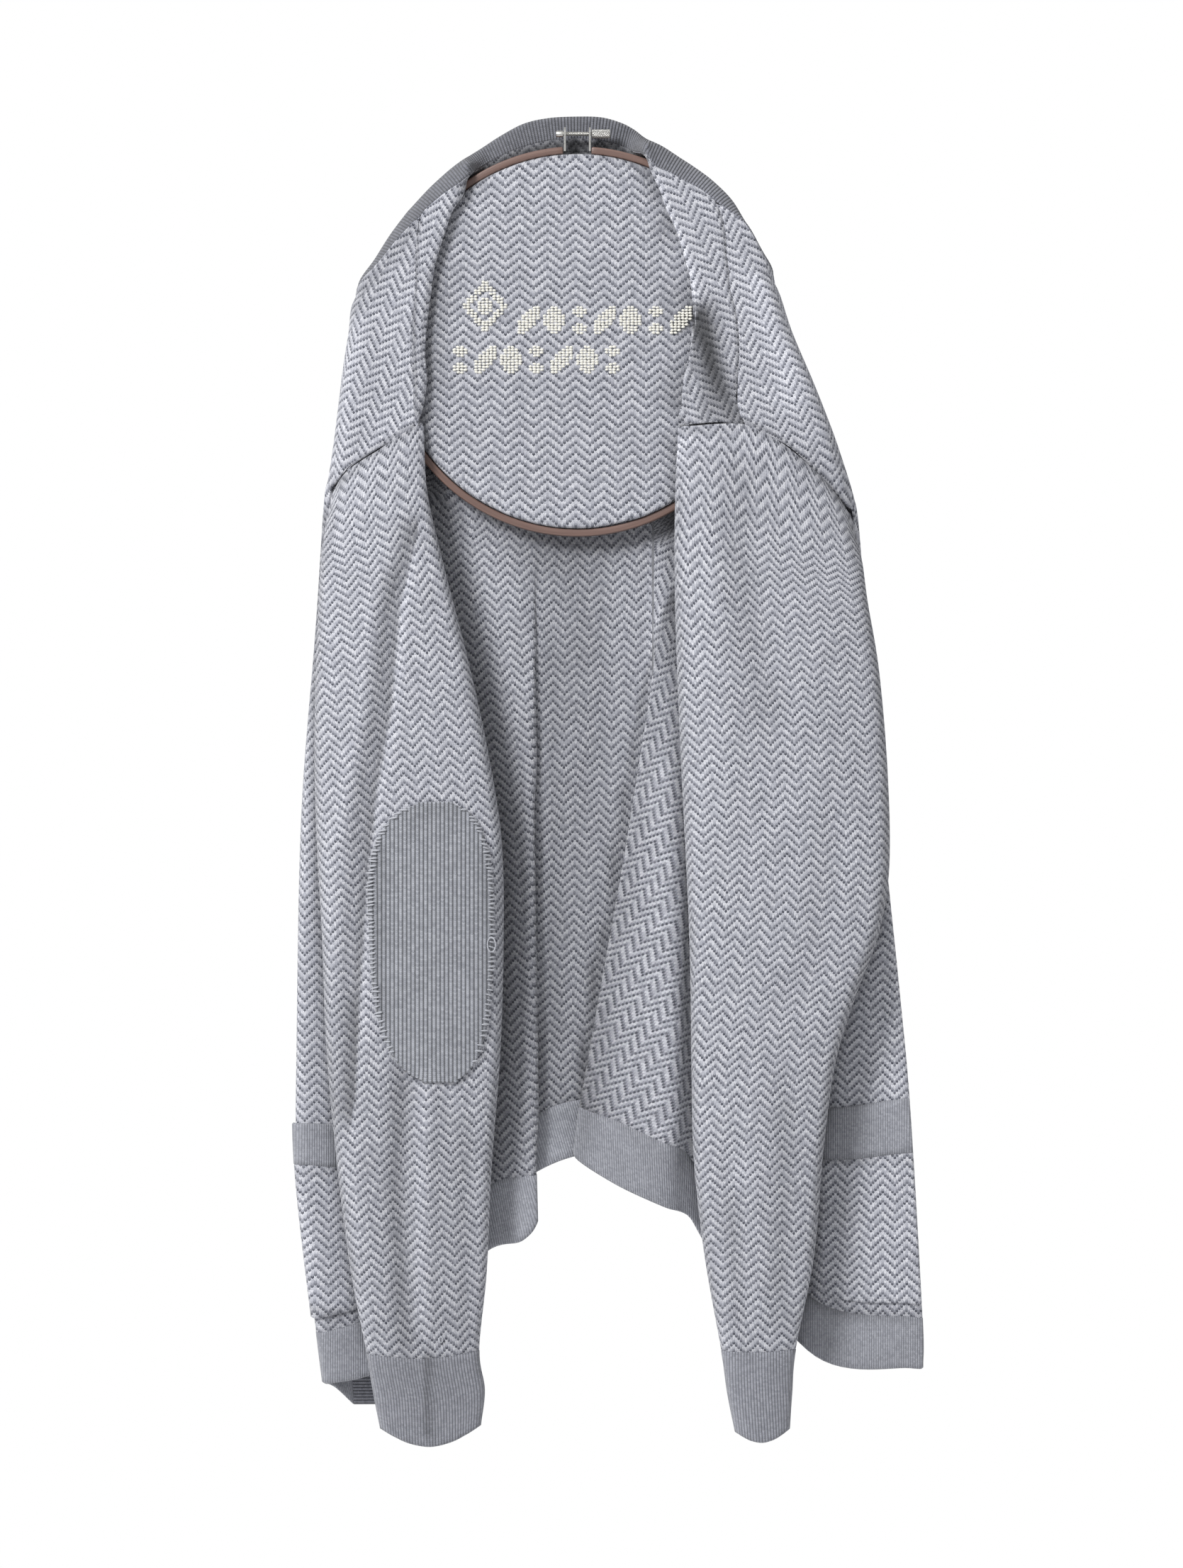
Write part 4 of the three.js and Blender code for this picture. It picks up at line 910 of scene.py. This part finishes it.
def front_knit_place(rows, columns, levels, turn):
    """Knit coordinates of a front: across from its brow and up, leaning outwards at the shoulder."""
    grid = surface(rows, FRONT_COLUMNS, levels)
    length = step_lengths(grid, 1, [0, 1])
    brow = grid.shape[1] * 2 // 5
    across = -turn * (length - length[:, [brow]]) + grid[:, [brow], 0]
    pivot = np.array([-turn * 125, -150])
    lean = turn * SHOULDER_GRAIN * smooth_step(-300, -180, grid[..., 2])
    uv = turned(np.stack([across, grid[..., 2]], axis=-1) - pivot, lean) + pivot
    lines = [[np.interp(columns, FRONT_COLUMNS, places) for places in line.T] for line in uv]
    return np.array(lines).swapaxes(1, 2)


# Painted shade on the fronts beside the sleeves, along the armhole seams, pocket tops and hems, and at the left
# shoulder's edge; painted highlight on the right shoulder and right front.
FRONT_SHADES = [
    ([
        (-166, -250), (-169, -291), (-172, -379), (-171, -462), (-167, -553), (-158, -672), (-146, -767),
        (-136, -798),
    ], 8, 4, 0.45),
    ([
        (203, -440), (204, -482), (197, -525), (182, -566), (169, -609), (161, -667), (155, -735), (143, -800),
    ], 4, 8, 0.4),
    ([(118, -95), (140, -165)], 18, 18, -0.22),
    ([(-110, -60), (-129, -86), (-146, -114)], 9, 8, 0.32),
    ([(206, -560), (213, -780)], 20, 20, -0.13),
    ([(109, -190), (124, -196), (140, -207), (158, -223), (173, -241)], 2, 2, 0.35),
    ([(-106, -192), (-120, -200), (-140, -213), (-157, -230)], 2, 2, 0.35),
    ([(-187, -680), (-160, -680), (-130, -680)], 3, 3, 0.3),
    ([(155, -674), (218, -672)], 3, 3, 0.3),
    ([(-173, -773), (-145, -778)], 3, 3, 0.35),
    ([(156, -763), (183, -775), (224, -774)], 3.5, 3.5, 0.35),
    ([(150, -700), (156, -763)], 8, 8, 0.25),
]


def build_front(name, rows, turn, pocket_columns, rib_rows, pocket_rows):
    """A front with its hem, its patch pocket and the pocket's rib."""
    gap, beside = SEAM_GAP, np.linspace(*pocket_columns, 25)
    plain, ribbed = (KNIT, HERRINGBONE, "herringbone_knit"), (RIB, HEM_RIB, "rib_knit")
    pieces = []
    for part, node, columns, levels, (thick, material, slot), lift, gaps in (
        ("front_panel", "front", FRONT_COLUMNS, finer(HEM_ROW, 8), plain, 0, (gap, gap, gap, gap)),
        ("front_hem", "hem", FRONT_COLUMNS, HEM_ROW + finer(1, 10), ribbed, 0, (gap, 0, gap, gap)),
        ("patch_pocket", "pocket", beside, np.linspace(*pocket_rows, 17), plain, PATCH_LIFT, (gap, 0, 0, 0)),
        ("pocket_edge", "pocket_rib", beside, np.linspace(*rib_rows, 9), ribbed, PATCH_LIFT, (0, gap, 0, 0)),
    ):
        piece = cloth_piece(
            f"{part}_{name}", surface(rows, columns, levels), front_knit_place(rows, columns, levels, turn),
            thick, material, side=turn, lift=lift, gaps=gaps, shades=FRONT_SHADES,
        )
        pieces.append(add(piece, slot, f"{node}_{name}"))
    return pieces


# ---------------------------------------------------------------- neckband and front bands

BAND_OUTLINE = [
    (165, 147), (157, 143.6), (148, 141), (138, 139.7), (127, 140.4), (114, 143.7), (105, 149), (98, 149.7),
    (90, 149.5), (85, 150), (78, 148), (70, 140.5), (59, 137.8), (49, 138), (43, 137.7), (34, 135), (25, 134.4),
]
BAND_WIDTH = 31
BAND_CLEAR = TURN_RADIUS + 2.6
BAND_SHORT = 0.5  # the right band stops above the hem's lower edge
FIRST_NECK_ANGLE = 142
LAST_NECK_ANGLE = 45


def curled_band(seam, lean=0.35):
    degrees = math.degrees(math.atan2(seam[2] - HOOP_CENTRE, seam[0]))
    seam_radius = math.hypot(seam[0], seam[2] - HOOP_CENTRE)
    outline = max(curve_at(BAND_OUTLINE, degrees) - RIB / 2, seam_radius + 0.6, BAND_CLEAR)
    crest = -3 + (seam[1] - FRONT_Y) * 0.72
    places = [
        (mix(seam_radius, outline, 0.55), mix(seam[1], crest, lean)), (outline, crest),
        (max(outline - 1.5, BAND_CLEAR), crest + 8), (outline - 6, max(crest + 13, 14.5)),
        (outline - 15, max(crest + 15, 17)),
    ]
    return [seam, *ring_path(degrees, places)]


def hanging_band(edge, turn):
    return [point(edge[0] + turn * BAND_WIDTH * t, edge[1] + 1.5 * t, edge[2]) for t in np.linspace(0, 1, 6)]


def turning_band(edge, turn):
    return [mix(curled, hung, 0.5) for curled, hung in zip(curled_band(edge), hanging_band(edge, turn))]


def band_rows():
    curled = 4
    sides = []
    for rows, turn in ((LEFT_FRONT_ROWS, 1), (RIGHT_FRONT_ROWS, -1)):
        edges = [row[5] for row in rows]
        side = [curled_band(edge) for edge in edges[:curled]] + [turning_band(edges[curled], turn)]
        sides.append(side + [hanging_band(edge, turn) for edge in edges[curled + 1:]])
    first = next(i for i, column in enumerate(BACK_COLUMNS) if column[0] < LAST_NECK_ANGLE)
    last = max(i for i, column in enumerate(BACK_COLUMNS) if column[0] > FIRST_NECK_ANGLE or column[0] < 0)
    neck = BACK_COLUMNS[last + 1:] + BACK_COLUMNS[:first]
    middle = [curled_band(path[-1], -0.25 if wraps else 0.35) for _, path, wraps in neck]
    return sides[0][::-1] + middle + sides[1]


# Painted shade on the top of the neckband and down its left side.
BAND_SHADES = [
    ([(-70, -14), (-30, 6), (0, 10), (45, -8)], 26, 26, 0.4),
    ([(-100, -48), (-150, -110), (-152, -170)], 22, 22, 0.36),
]


def build_band():
    rows = band_rows()
    last = len(rows) - 1
    grid = surface(rows, finer(5, 6), finer(last, 6) * (last - BAND_SHORT) / last)
    along = step_lengths(grid, 0, [0, 1, 2])[:, [8]]
    across = step_lengths(grid, 1, [0, 1, 2])
    uv = np.stack([np.broadcast_to(along, across.shape), across], axis=-1)
    piece = cloth_piece(
        "neck_and_front_band", grid, uv, RIB, BAND_RIB, side=-1, gaps=(0, 0, SEAM_GAP, 0), shades=BAND_SHADES,
    )
    return add(piece, "rib_knit", "front_band")


# ---------------------------------------------------------------- sleeves

RING_POINTS = 16


def sleeve_ring(inner, outer, front, rear, sag=0.0):
    middle, half = (front + rear) / 2, (rear - front) / 2
    ring = []
    for k in range(RING_POINTS):
        angle = 2 * math.pi * k / RING_POINTS
        across = (1 - math.copysign(abs(math.cos(angle)) ** 0.9, math.cos(angle))) / 2
        bulge = math.copysign(abs(math.sin(angle)) ** 0.6, math.sin(angle))
        z = mix(inner[1], outer[1], across) - sag * math.sin(math.pi * across)
        ring.append(point(mix(inner[0], outer[0], across), middle - half * bulge, z))
    return ring


# (x, z) of the inner and the outer edge, front y, rear y and how far the middle sags
LEFT_SLEEVE = [
    ((-99, -236), (-165.5, -268), -24, -5),
    ((-88, -285), (-168, -302), -30, -5),
    ((-73, -343), (-170, -350), -33, -6),
    ((-60, -402), (-171, -405), -34, -6),
    ((-50.5, -462), (-169.5, -464), -35, -6),
    ((-49, -525), (-166, -527), -35, -6),
    ((-51, -600), (-163, -602), -34, -6),
    ((-57, -680), (-155.5, -682), -32, -7),
    ((-60, -745), (-147, -747), -30, -8),
    ((-65, -797), (-137, -799), -27, -9, 4),
    ((-61.5, -823), (-132.5, -825), -26, -10, 6),
    ((-64, -846), (-128, -848), -24, -11, 12),
]
RIGHT_SLEEVE = [
    ((65, -235), (185.5, -282), -27, -9.5),
    ((64.5, -290), (189, -308), -32, -7),
    ((66, -350), (196.5, -354), -35, -6),
    ((69, -420), (202, -420), -36, -6),
    ((72, -480), (203, -482), -36, -6),
    ((74, -525), (196, -525), -35, -6),
    ((75, -568), (181, -566), -34, -6),
    ((75.5, -612), (168, -609), -34, -6),
    ((77, -672), (160, -667), -33, -7),
    ((84, -735), (154, -735), -31, -8),
    ((95, -797), (142, -796), -30, -8, 1),
    ((99, -825), (139.5, -825), -29, -9, 2),
    ((104, -850), (138, -848), -27, -10, 7),
]

LEFT_SLEEVE_CREASES = [
    ([
        (-107, -262), (-118, -310), (-124, -379), (-133, -430), (-140, -500), (-144, -560), (-148, -640),
    ], 4.5, 11, -3.8),
    ([(-122, -275), (-133, -320), (-138, -379), (-148, -430), (-158, -480)], 8, 6, 2.2),
    ([(-96, -610), (-99, -680), (-99, -760), (-98, -800)], 8, 6, 2.6),
    ([(-112, -610), (-116, -690), (-112, -790)], 6, 7, -2.4),
    ([(-145, -640), (-141, -720), (-130, -790)], 8, 7, 1.6),
    ([(-75, -640), (-76, -720), (-76, -790)], 8, 8, -1.2),
]
RIGHT_SLEEVE_CREASES = [
    ([(104, -240), (112, -295), (120, -360)], 12, 14, -2.2),
    ([(88, -225), (90, -300), (94, -380), (96, -470)], 14, 10, 1.4),
    ([(150, -290), (152, -380), (148, -470), (138, -560)], 16, 16, 1.4),
    ([(172, -440), (160, -520), (140, -590)], 10, 14, -1.6),
    ([(118, -600), (118, -690), (116, -790)], 12, 12, 1.5),
    ([(99, -650), (102, -720), (106, -790)], 8, 8, -1.3),
    ([(140, -600), (138, -680), (131, -780)], 9, 9, -1.3),
]


# Painted shade along the sleeves' folds, edges, cuff overlap and armhole seams; painted highlight on the left
# sleeve's fold ridges.
LEFT_SLEEVE_SHADES = [
    ([
        (-105, -262), (-116, -310), (-122, -379), (-131, -430), (-138, -500), (-142, -560), (-146, -640),
    ], 1.6, 11, 0.55),
    ([(-110, -275), (-122, -320), (-128, -379), (-138, -430), (-145, -500), (-149, -560)], 6, 2.5, -0.18),
    ([(-113, -600), (-118, -690), (-112, -790)], 8, 9, 0.3),
    ([(-100, -620), (-101, -700), (-99, -790)], 4, 4, -0.1),
    ([(-72, -650), (-74, -790)], 5, 7, 0.16),
    ([(-99, -800), (-99, -850)], 5, 1.5, 0.3),
    ([(-98, -815), (-96, -850)], 40, 40, 0.1),
    ([(-106, -194), (-120, -203), (-140, -216), (-157, -232)], 2.5, 2.5, 0.35),
    ([(-108, -630), (-104, -780)], 50, 50, 0.1),
    ([
        (-160, -250), (-168, -300), (-171, -400), (-169, -500), (-163, -600), (-156, -680), (-146, -750),
    ], 4, 6, 0.22),
    ([
        (-99, -236), (-88, -285), (-73, -343), (-60, -402), (-50, -462), (-49, -525), (-51, -600), (-57, -680),
    ], 5, 4, 0.2),
]
RIGHT_SLEEVE_SHADES = [
    ([(106, -225), (112, -295), (122, -380)], 14, 16, 0.16),
    ([(66, -225), (65, -300), (68, -400), (74, -525), (76, -670), (90, -780)], 4, 6, 0.25),
    ([
        (178, -262), (188, -308), (196, -354), (202, -420), (202, -482), (195, -525), (180, -566), (167, -609),
        (159, -667), (153, -735),
    ], 7, 4, 0.25),
    ([(102, -700), (106, -790)], 8, 8, 0.18),
    ([(138, -640), (132, -780)], 9, 9, 0.16),
    ([(66, -196), (109, -193), (124, -199), (140, -210), (158, -226), (173, -244)], 2.5, 2.5, 0.35),
]


def build_sleeve(name, armhole, rings, side, creases, shades):
    """A hanging sleeve tube and its rib cuff; returns its surface for anything sewn on."""
    sections = [armhole, *(sleeve_ring(*ring) for ring in rings)]
    cuff_row = len(rings) - 2
    pieces = []
    for part, node, top, bottom, thick, material, slot, end_gap in (
        ("sleeve_tube", "sleeve", 0, cuff_row, KNIT, HERRINGBONE, "herringbone_knit", SEAM_GAP),
        ("sleeve_cuff", "cuff", cuff_row, cuff_row + 2, RIB, CUFF_RIB, "rib_knit", 0),
    ):
        grid = surface(sections, finer(RING_POINTS, 8)[:-1], top + finer(bottom - top, 10), closed=True)
        piece = cloth_piece(
            f"{part}_{name}", grid, tube_knit_place(grid), thick, material, closed=True, side=side,
            gaps=(SEAM_GAP, end_gap, 0, 0), creases=creases, shades=shades,
        )
        pieces.append(add(piece, slot, f"{node}_{name}"))
    return pieces, sections


def tube_knit_place(grid):
    """Knit coordinates of a tube: round it from the middle of its front, and up it."""
    around = step_lengths(np.concatenate([grid, grid[:, :1]], axis=1), 1, [0, 1, 2])
    around = around - around[:, [grid.shape[1] // 4]]
    fall = step_lengths(grid.mean(axis=1, keepdims=True), 0, [0, 1, 2])
    return np.stack([around, np.broadcast_to(fall[-1] - fall, around.shape)], axis=-1)


# ---------------------------------------------------------------- elbow patch and darning

PATCH_COLUMNS = (1.35, 5.1)
PATCH_ROWS = (4.62, 7.25)
PATCH_POWER = 2.6
PATCH_END_WIDTH = 0.26
PATCH_FOLLOWS = 0.8
# Painted shade along the patch's two long edges and its top.
PATCH_SHADES = [
    ([(-128, -470), (-131, -520), (-130, -580)], 6, 8, 0.2),
    ([(-60, -470), (-57, -530), (-60, -590)], 6, 5, 0.2),
    ([(-100, -445), (-80, -442)], 8, 8, 0.15),
]


def patch_place(across, down):
    """Sleeve position (column, row) of a place on the oval, both from -1 to 1."""
    narrowing = max((1 - min(abs(down), 1) ** PATCH_POWER) ** (1 / PATCH_POWER), PATCH_END_WIDTH)
    middle = sum(PATCH_COLUMNS) / 2
    half = (PATCH_COLUMNS[1] - PATCH_COLUMNS[0]) / 2
    return middle + half * across * narrowing, mix(PATCH_ROWS[0], PATCH_ROWS[1], (down + 1) / 2)


def sleeve_point(sections, column, row):
    return surface(sections, [column], [row], closed=True)[0, 0]


def patch_point(sections, across, down):
    return sleeve_point(sections, *patch_place(across, down))


def build_patch(sections):
    downs = np.sin(np.linspace(-math.pi / 2, math.pi / 2, 49))
    grid = np.array([[patch_point(sections, across, down) for across in np.linspace(-1, 1, 41)] for down in downs])
    lift = soft_lines(grid, LEFT_SLEEVE_CREASES, fades=True) * PATCH_FOLLOWS
    grid = grid + grid_normals(grid, False, 1) * lift[..., None]
    piece = cloth_piece(
        "elbow_darn", grid, grid[..., [0, 2]], RIB, PATCH_RIB, lift=PATCH_LIFT, shades=PATCH_SHADES,
    )
    return add(piece, "darned_patch", "elbow_patch")


def lay_strands(name, places, slot, material):
    """Short plump strands of yarn: each is (middle, direction, normal, length, width)."""
    bpy.ops.mesh.primitive_uv_sphere_add(segments=8, ring_count=6, radius=1, location=(0, 0, 0))
    strand = bpy.context.active_object
    shape = np.array([v.co[:] for v in strand.data.vertices])
    faces = [list(face.vertices) for face in strand.data.polygons]
    bpy.data.objects.remove(strand, do_unlink=True)
    vertices, polygons = [], []
    for count, (middle, direction, normal, length, width) in enumerate(places):
        direction = unit(direction)
        aside = unit(np.cross(direction, normal))
        axes = np.stack([aside * width, np.cross(aside, direction) * width, direction * length]) / 2
        vertices.append(middle + shape @ axes)
        polygons += [[count * len(shape) + v for v in face] for face in faces]
    piece = new_piece(name, np.concatenate(vertices), polygons, material)
    open_mesh(piece)
    close_mesh()
    bpy.ops.object.shade_smooth()
    return add(piece, slot)


def darning_stitches(sections, random):
    """Overcast stitches round the oval, closest along its two long edges."""
    places = []
    for end in (-1, 1):
        for down in np.arange(-0.95, 0.96, 0.032):
            if random.random() < smooth_step(0.7, 1.0, abs(down)) * 0.6:
                continue
            down = down + random.uniform(-0.006, 0.006)
            edge = patch_point(sections, end, down)
            inward = unit(patch_point(sections, end * 0.93, down) - edge)
            along = unit(patch_point(sections, end, down + 0.02) - edge)
            normal = unit(np.cross(inward, along))
            if normal[1] > 0:
                normal = -normal
            direction = inward + along * random.uniform(-0.35, 0.1) + normal * 0.25
            middle = edge + normal * (PATCH_LIFT + RIB / 2 + 0.25) + inward * random.uniform(-0.4, 0.6)
            places.append((middle, direction, normal, random.uniform(4.4, 6.6), random.uniform(1.1, 1.5)))
    return places


def pulled_loop(middle, half_width, half_height, thick):
    """A loose loop of yarn that stands off the cloth."""
    places = []
    for turn in np.linspace(0, 2 * math.pi, 12, endpoint=False):
        away = point(half_width * math.cos(turn), -0.6 * math.sin(2 * turn), half_height * math.sin(turn))
        along = point(-half_width * math.sin(turn), 0.4, half_height * math.cos(turn))
        places.append((middle + away, along, point(0, -1, 0), half_height * 0.8, thick))
    return places


def snags(sections):
    """A loop pulled out of the patch's edge, and a small one low on the sleeve."""
    beside_patch = sleeve_point(sections, *patch_place(-1, 0.12)) + point(0.5, -PATCH_LIFT - RIB - 0.8, 0)
    low = sleeve_point(sections, 3.2, 9.75) - point(0, KNIT + 0.4, 0)
    return pulled_loop(beside_patch, 2.6, 4.6, 0.9) + pulled_loop(low, 1.1, 1.8, 0.9)


# ---------------------------------------------------------------- motif on the back

KNOT_ACROSS = 2.45
KNOT_DOWN = 1.85
BORDER = (
    ("..##..", ".####.", ".####.", "######", "######", "######", "######", ".####.", ".####.", "..##.."),
    ("..##..", ".####.", ".####.", "..##..", "......", "......", "..##..", ".####.", ".####.", "..##.."),
    ("....##", "...###", "..####", ".#####", ".#####", "#####.", "#####.", "####..", "###...", "##...."),
)


LOZENGE_COLUMNS = 12
LOZENGE_ROWS = 18


def big_lozenge(across, down):
    """True where the tall lozenge has a knot: rings two knots wide."""
    half_width, half_height = LOZENGE_COLUMNS / 2, LOZENGE_ROWS / 2
    away = abs(across + 0.5 - half_width) / half_width + abs(down + 0.5 - half_height) / half_height
    return away < 1.06 and not 0.42 < away < 0.68


def motif_knots(random):
    """A tall lozenge and two lines of lozenges and leaves in raised knots, like a border pattern."""
    inside = [(c, r) for r in range(LOZENGE_ROWS) for c in range(LOZENGE_COLUMNS) if big_lozenge(c, r)]
    cells = [(-74 + c * KNOT_ACROSS, -98 - r * KNOT_DOWN) for c, r in inside]
    for left, top, shapes in ((-38, -114.5, (2, 0, 1, 2, 0, 1, 2)), (-83, -140.5, (1, 2, 0, 1, 2, 0, 1))):
        for place, shape in enumerate(shapes):
            for r, line in enumerate(BORDER[shape]):
                for c, mark in enumerate(line):
                    if mark == "#":
                        cells.append((left + (place * 6.8 + c) * KNOT_ACROSS, top - r * KNOT_DOWN))
    knots = []
    for x, z in cells:
        slant = random.uniform(-0.25, 0.25)
        middle = point(x + random.uniform(-0.2, 0.2), DISC_Y - KNIT / 2 - 0.5, z + random.uniform(-0.2, 0.2))
        along = np.array([math.cos(slant), 0, math.sin(slant)])
        knots.append((middle, along, point(0, -1, 0), random.uniform(2.2, 2.7), random.uniform(1.5, 1.9)))
    return knots


# ---------------------------------------------------------------- hoop and screw


def spun(name, profile, axis, centre, steps, material, angle=2 * math.pi, bevel=0.0):
    """A closed outline of places, spun round an axis through the centre."""
    edges = [(i, (i + 1) % len(profile)) for i in range(len(profile))]
    piece = new_piece(name, profile, [], material, edges)
    open_mesh(piece)
    if angle < 2 * math.pi:
        bpy.ops.mesh.edge_face_add()
    bpy.ops.mesh.spin(steps=steps, angle=angle, center=tuple(centre * MM), axis=axis)
    close_mesh()
    if bevel:
        modifier = piece.modifiers.new("edges", "BEVEL")
        modifier.width = bevel * MM
        modifier.segments = 3
        modifier.limit_method = "ANGLE"
        bpy.ops.object.modifier_apply(modifier="edges")
    bpy.ops.object.shade_smooth_by_angle(angle=math.radians(40))
    return piece


HOOP_ROUNDING = 1.1
THREAD_PITCH = 0.8
THREAD_CREST, THREAD_ROOT = 1.6, 1.32


def build_hoop():
    half = HOOP_DEPTH / 2
    for name, radius, width, gap, node in (
        ("outer_hoop_ring", HOOP_OUTER, HOOP_WIDTH, HOOP_GAP_HALF_ANGLE, "hoop_outer"),
        ("inner_hoop_ring", INNER_RING_OUTER, INNER_RING_WIDTH, 0, "hoop_inner"),
    ):
        places = [(radius, -half), (radius, half), (radius - width, half), (radius - width, -half)]
        turn = 2 * math.pi - math.radians(2 * gap)
        profile = ring_path(90 + gap, places)
        ring = spun(name, profile, (0, 1, 0), point(0, 0, HOOP_CENTRE), 180, WOOD, turn, HOOP_ROUNDING)
        add(ring, "hoop_wood", node)


def build_screw():
    head = [(-14, 0.02), (-14, 1.8), (-13.5, 2.2), (-9.6, 2.2), (-9.4, THREAD_CREST)]
    thread = [point(along, 0, radius) for along, radius in head]
    x = -9.0
    while x < 20.2:
        thread += [point(x, 0, THREAD_CREST), point(x + THREAD_PITCH / 2, 0, THREAD_ROOT)]
        x += THREAD_PITCH
    thread += [point(20.6, 0, 1.2), point(20.6, 0, 0.02)]
    rod = spun("threaded_rod", thread, (1, 0, 0), point(0, 0, 0), 24, STEEL)
    add(rod, "screw_steel", "tension_screw")
    ends = [(9.2, 1.95), (9.2, 2.6), (9.6, 2.95), (21.2, 2.95), (21.6, 2.6), (21.6, 1.95)]
    outline = [point(along, 0, radius) for along, radius in ends]
    nut = spun("knurled_nut", outline, (1, 0, 0), point(0, 0, 0), 40, KNURLED)
    add(nut, "screw_steel", "barrel_nut")
    for name in ("bracket_left", "bracket_right"):
        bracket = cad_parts[name]
        bracket.data.materials.clear()
        bracket.data.materials.append(STEEL)


# ---------------------------------------------------------------- the pieces

random = np.random.default_rng(7)
back = build_back()
back_hem = build_back_hem()
left_front = build_front("left", LEFT_FRONT_ROWS, 1, (0.6, 3), (13.62, 13.97), (13.97, 14.87))
right_front = build_front("right", RIGHT_FRONT_ROWS, -1, (0.6, 2.3), (13.9, 14.2), (14.2, 14.9))
left_sleeve, left_sections = build_sleeve(
    "left", armhole_side(LEFT_ARMHOLE, -1), LEFT_SLEEVE, 1, LEFT_SLEEVE_CREASES, LEFT_SLEEVE_SHADES,
)
right_sleeve, _ = build_sleeve(
    "right", armhole_side(RIGHT_ARMHOLE, -1), RIGHT_SLEEVE, -1, RIGHT_SLEEVE_CREASES, RIGHT_SLEEVE_SHADES,
)
band = build_band()
patch = build_patch(left_sections)
darning = darning_stitches(left_sections, random) + snags(left_sections)
lay_strands("darning_stitches", darning, "darned_patch", DARNING_YARN)
lay_strands("motif_knots", motif_knots(random), "darned_patch", MOTIF_YARN)
build_hoop()
build_screw()

# ---------------------------------------------------------------- floor, light and camera


FLOOR_HEIGHT = -1.27


def build_floor():
    bpy.ops.mesh.primitive_circle_add(vertices=96, radius=1.3, fill_type="NGON", location=(0, 0, FLOOR_HEIGHT))
    floor = bpy.context.active_object
    floor.name = "studio_floor"
    finish = Finish("studio_paper", 0.9)
    grain = finish.noise(finish.own_place(), 300.0, 3.0)
    finish.set(Base_Color=finish.between(grain, linear(236, 236, 238), linear(246, 246, 247)))
    finish.bump(grain, 0.0002, 0.2)
    floor.data.materials.append(finish.material)


def area_light(name, place, target, size, power):
    data = bpy.data.lights.new(name, "AREA")
    data.shape = "DISK"
    data.size = size
    data.energy = power
    lamp = new_object(name, data)
    lamp.location = place
    lamp.rotation_euler = (Vector(target) - Vector(place)).to_track_quat("-Z", "Y").to_euler()


def build_light():
    world = bpy.data.worlds.new("studio")
    bpy.context.scene.world = world
    world.use_nodes = True
    nodes, links = world.node_tree.nodes, world.node_tree.links
    lighting = nodes["Background"]
    lighting.inputs[0].default_value = (1, 1, 1, 1)
    lighting.inputs[1].default_value = 0.55
    seen = nodes.new("ShaderNodeBackground")
    seen.inputs[0].default_value = (1, 1, 1, 1)
    seen.inputs[1].default_value = 1.0
    path = nodes.new("ShaderNodeLightPath")
    blend = nodes.new("ShaderNodeMixShader")
    links.new(path.outputs["Is Camera Ray"], blend.inputs[0])
    links.new(lighting.outputs[0], blend.inputs[1])
    links.new(seen.outputs[0], blend.inputs[2])
    links.new(blend.outputs[0], nodes["World Output"].inputs[0])
    area_light("key", (-1.6, -1.9, 1.2), (0, 0, -0.4), 0.9, 84)


FIELD_HEIGHT = 1.030
FAR = 4.0
SENSOR = 36


def build_camera():
    data = bpy.data.cameras.new("camera")
    data.sensor_fit = "VERTICAL"
    data.sensor_height = SENSOR
    data.lens = SENSOR * FAR / FIELD_HEIGHT
    camera = new_object("camera", data)
    camera.location = (0.0093, -FAR, -0.427)
    camera.rotation_euler = (math.pi / 2, 0, 0)
    bpy.context.scene.camera = camera


build_floor()
build_light()
build_camera()
bpy.context.scene.view_settings.view_transform = "Standard"
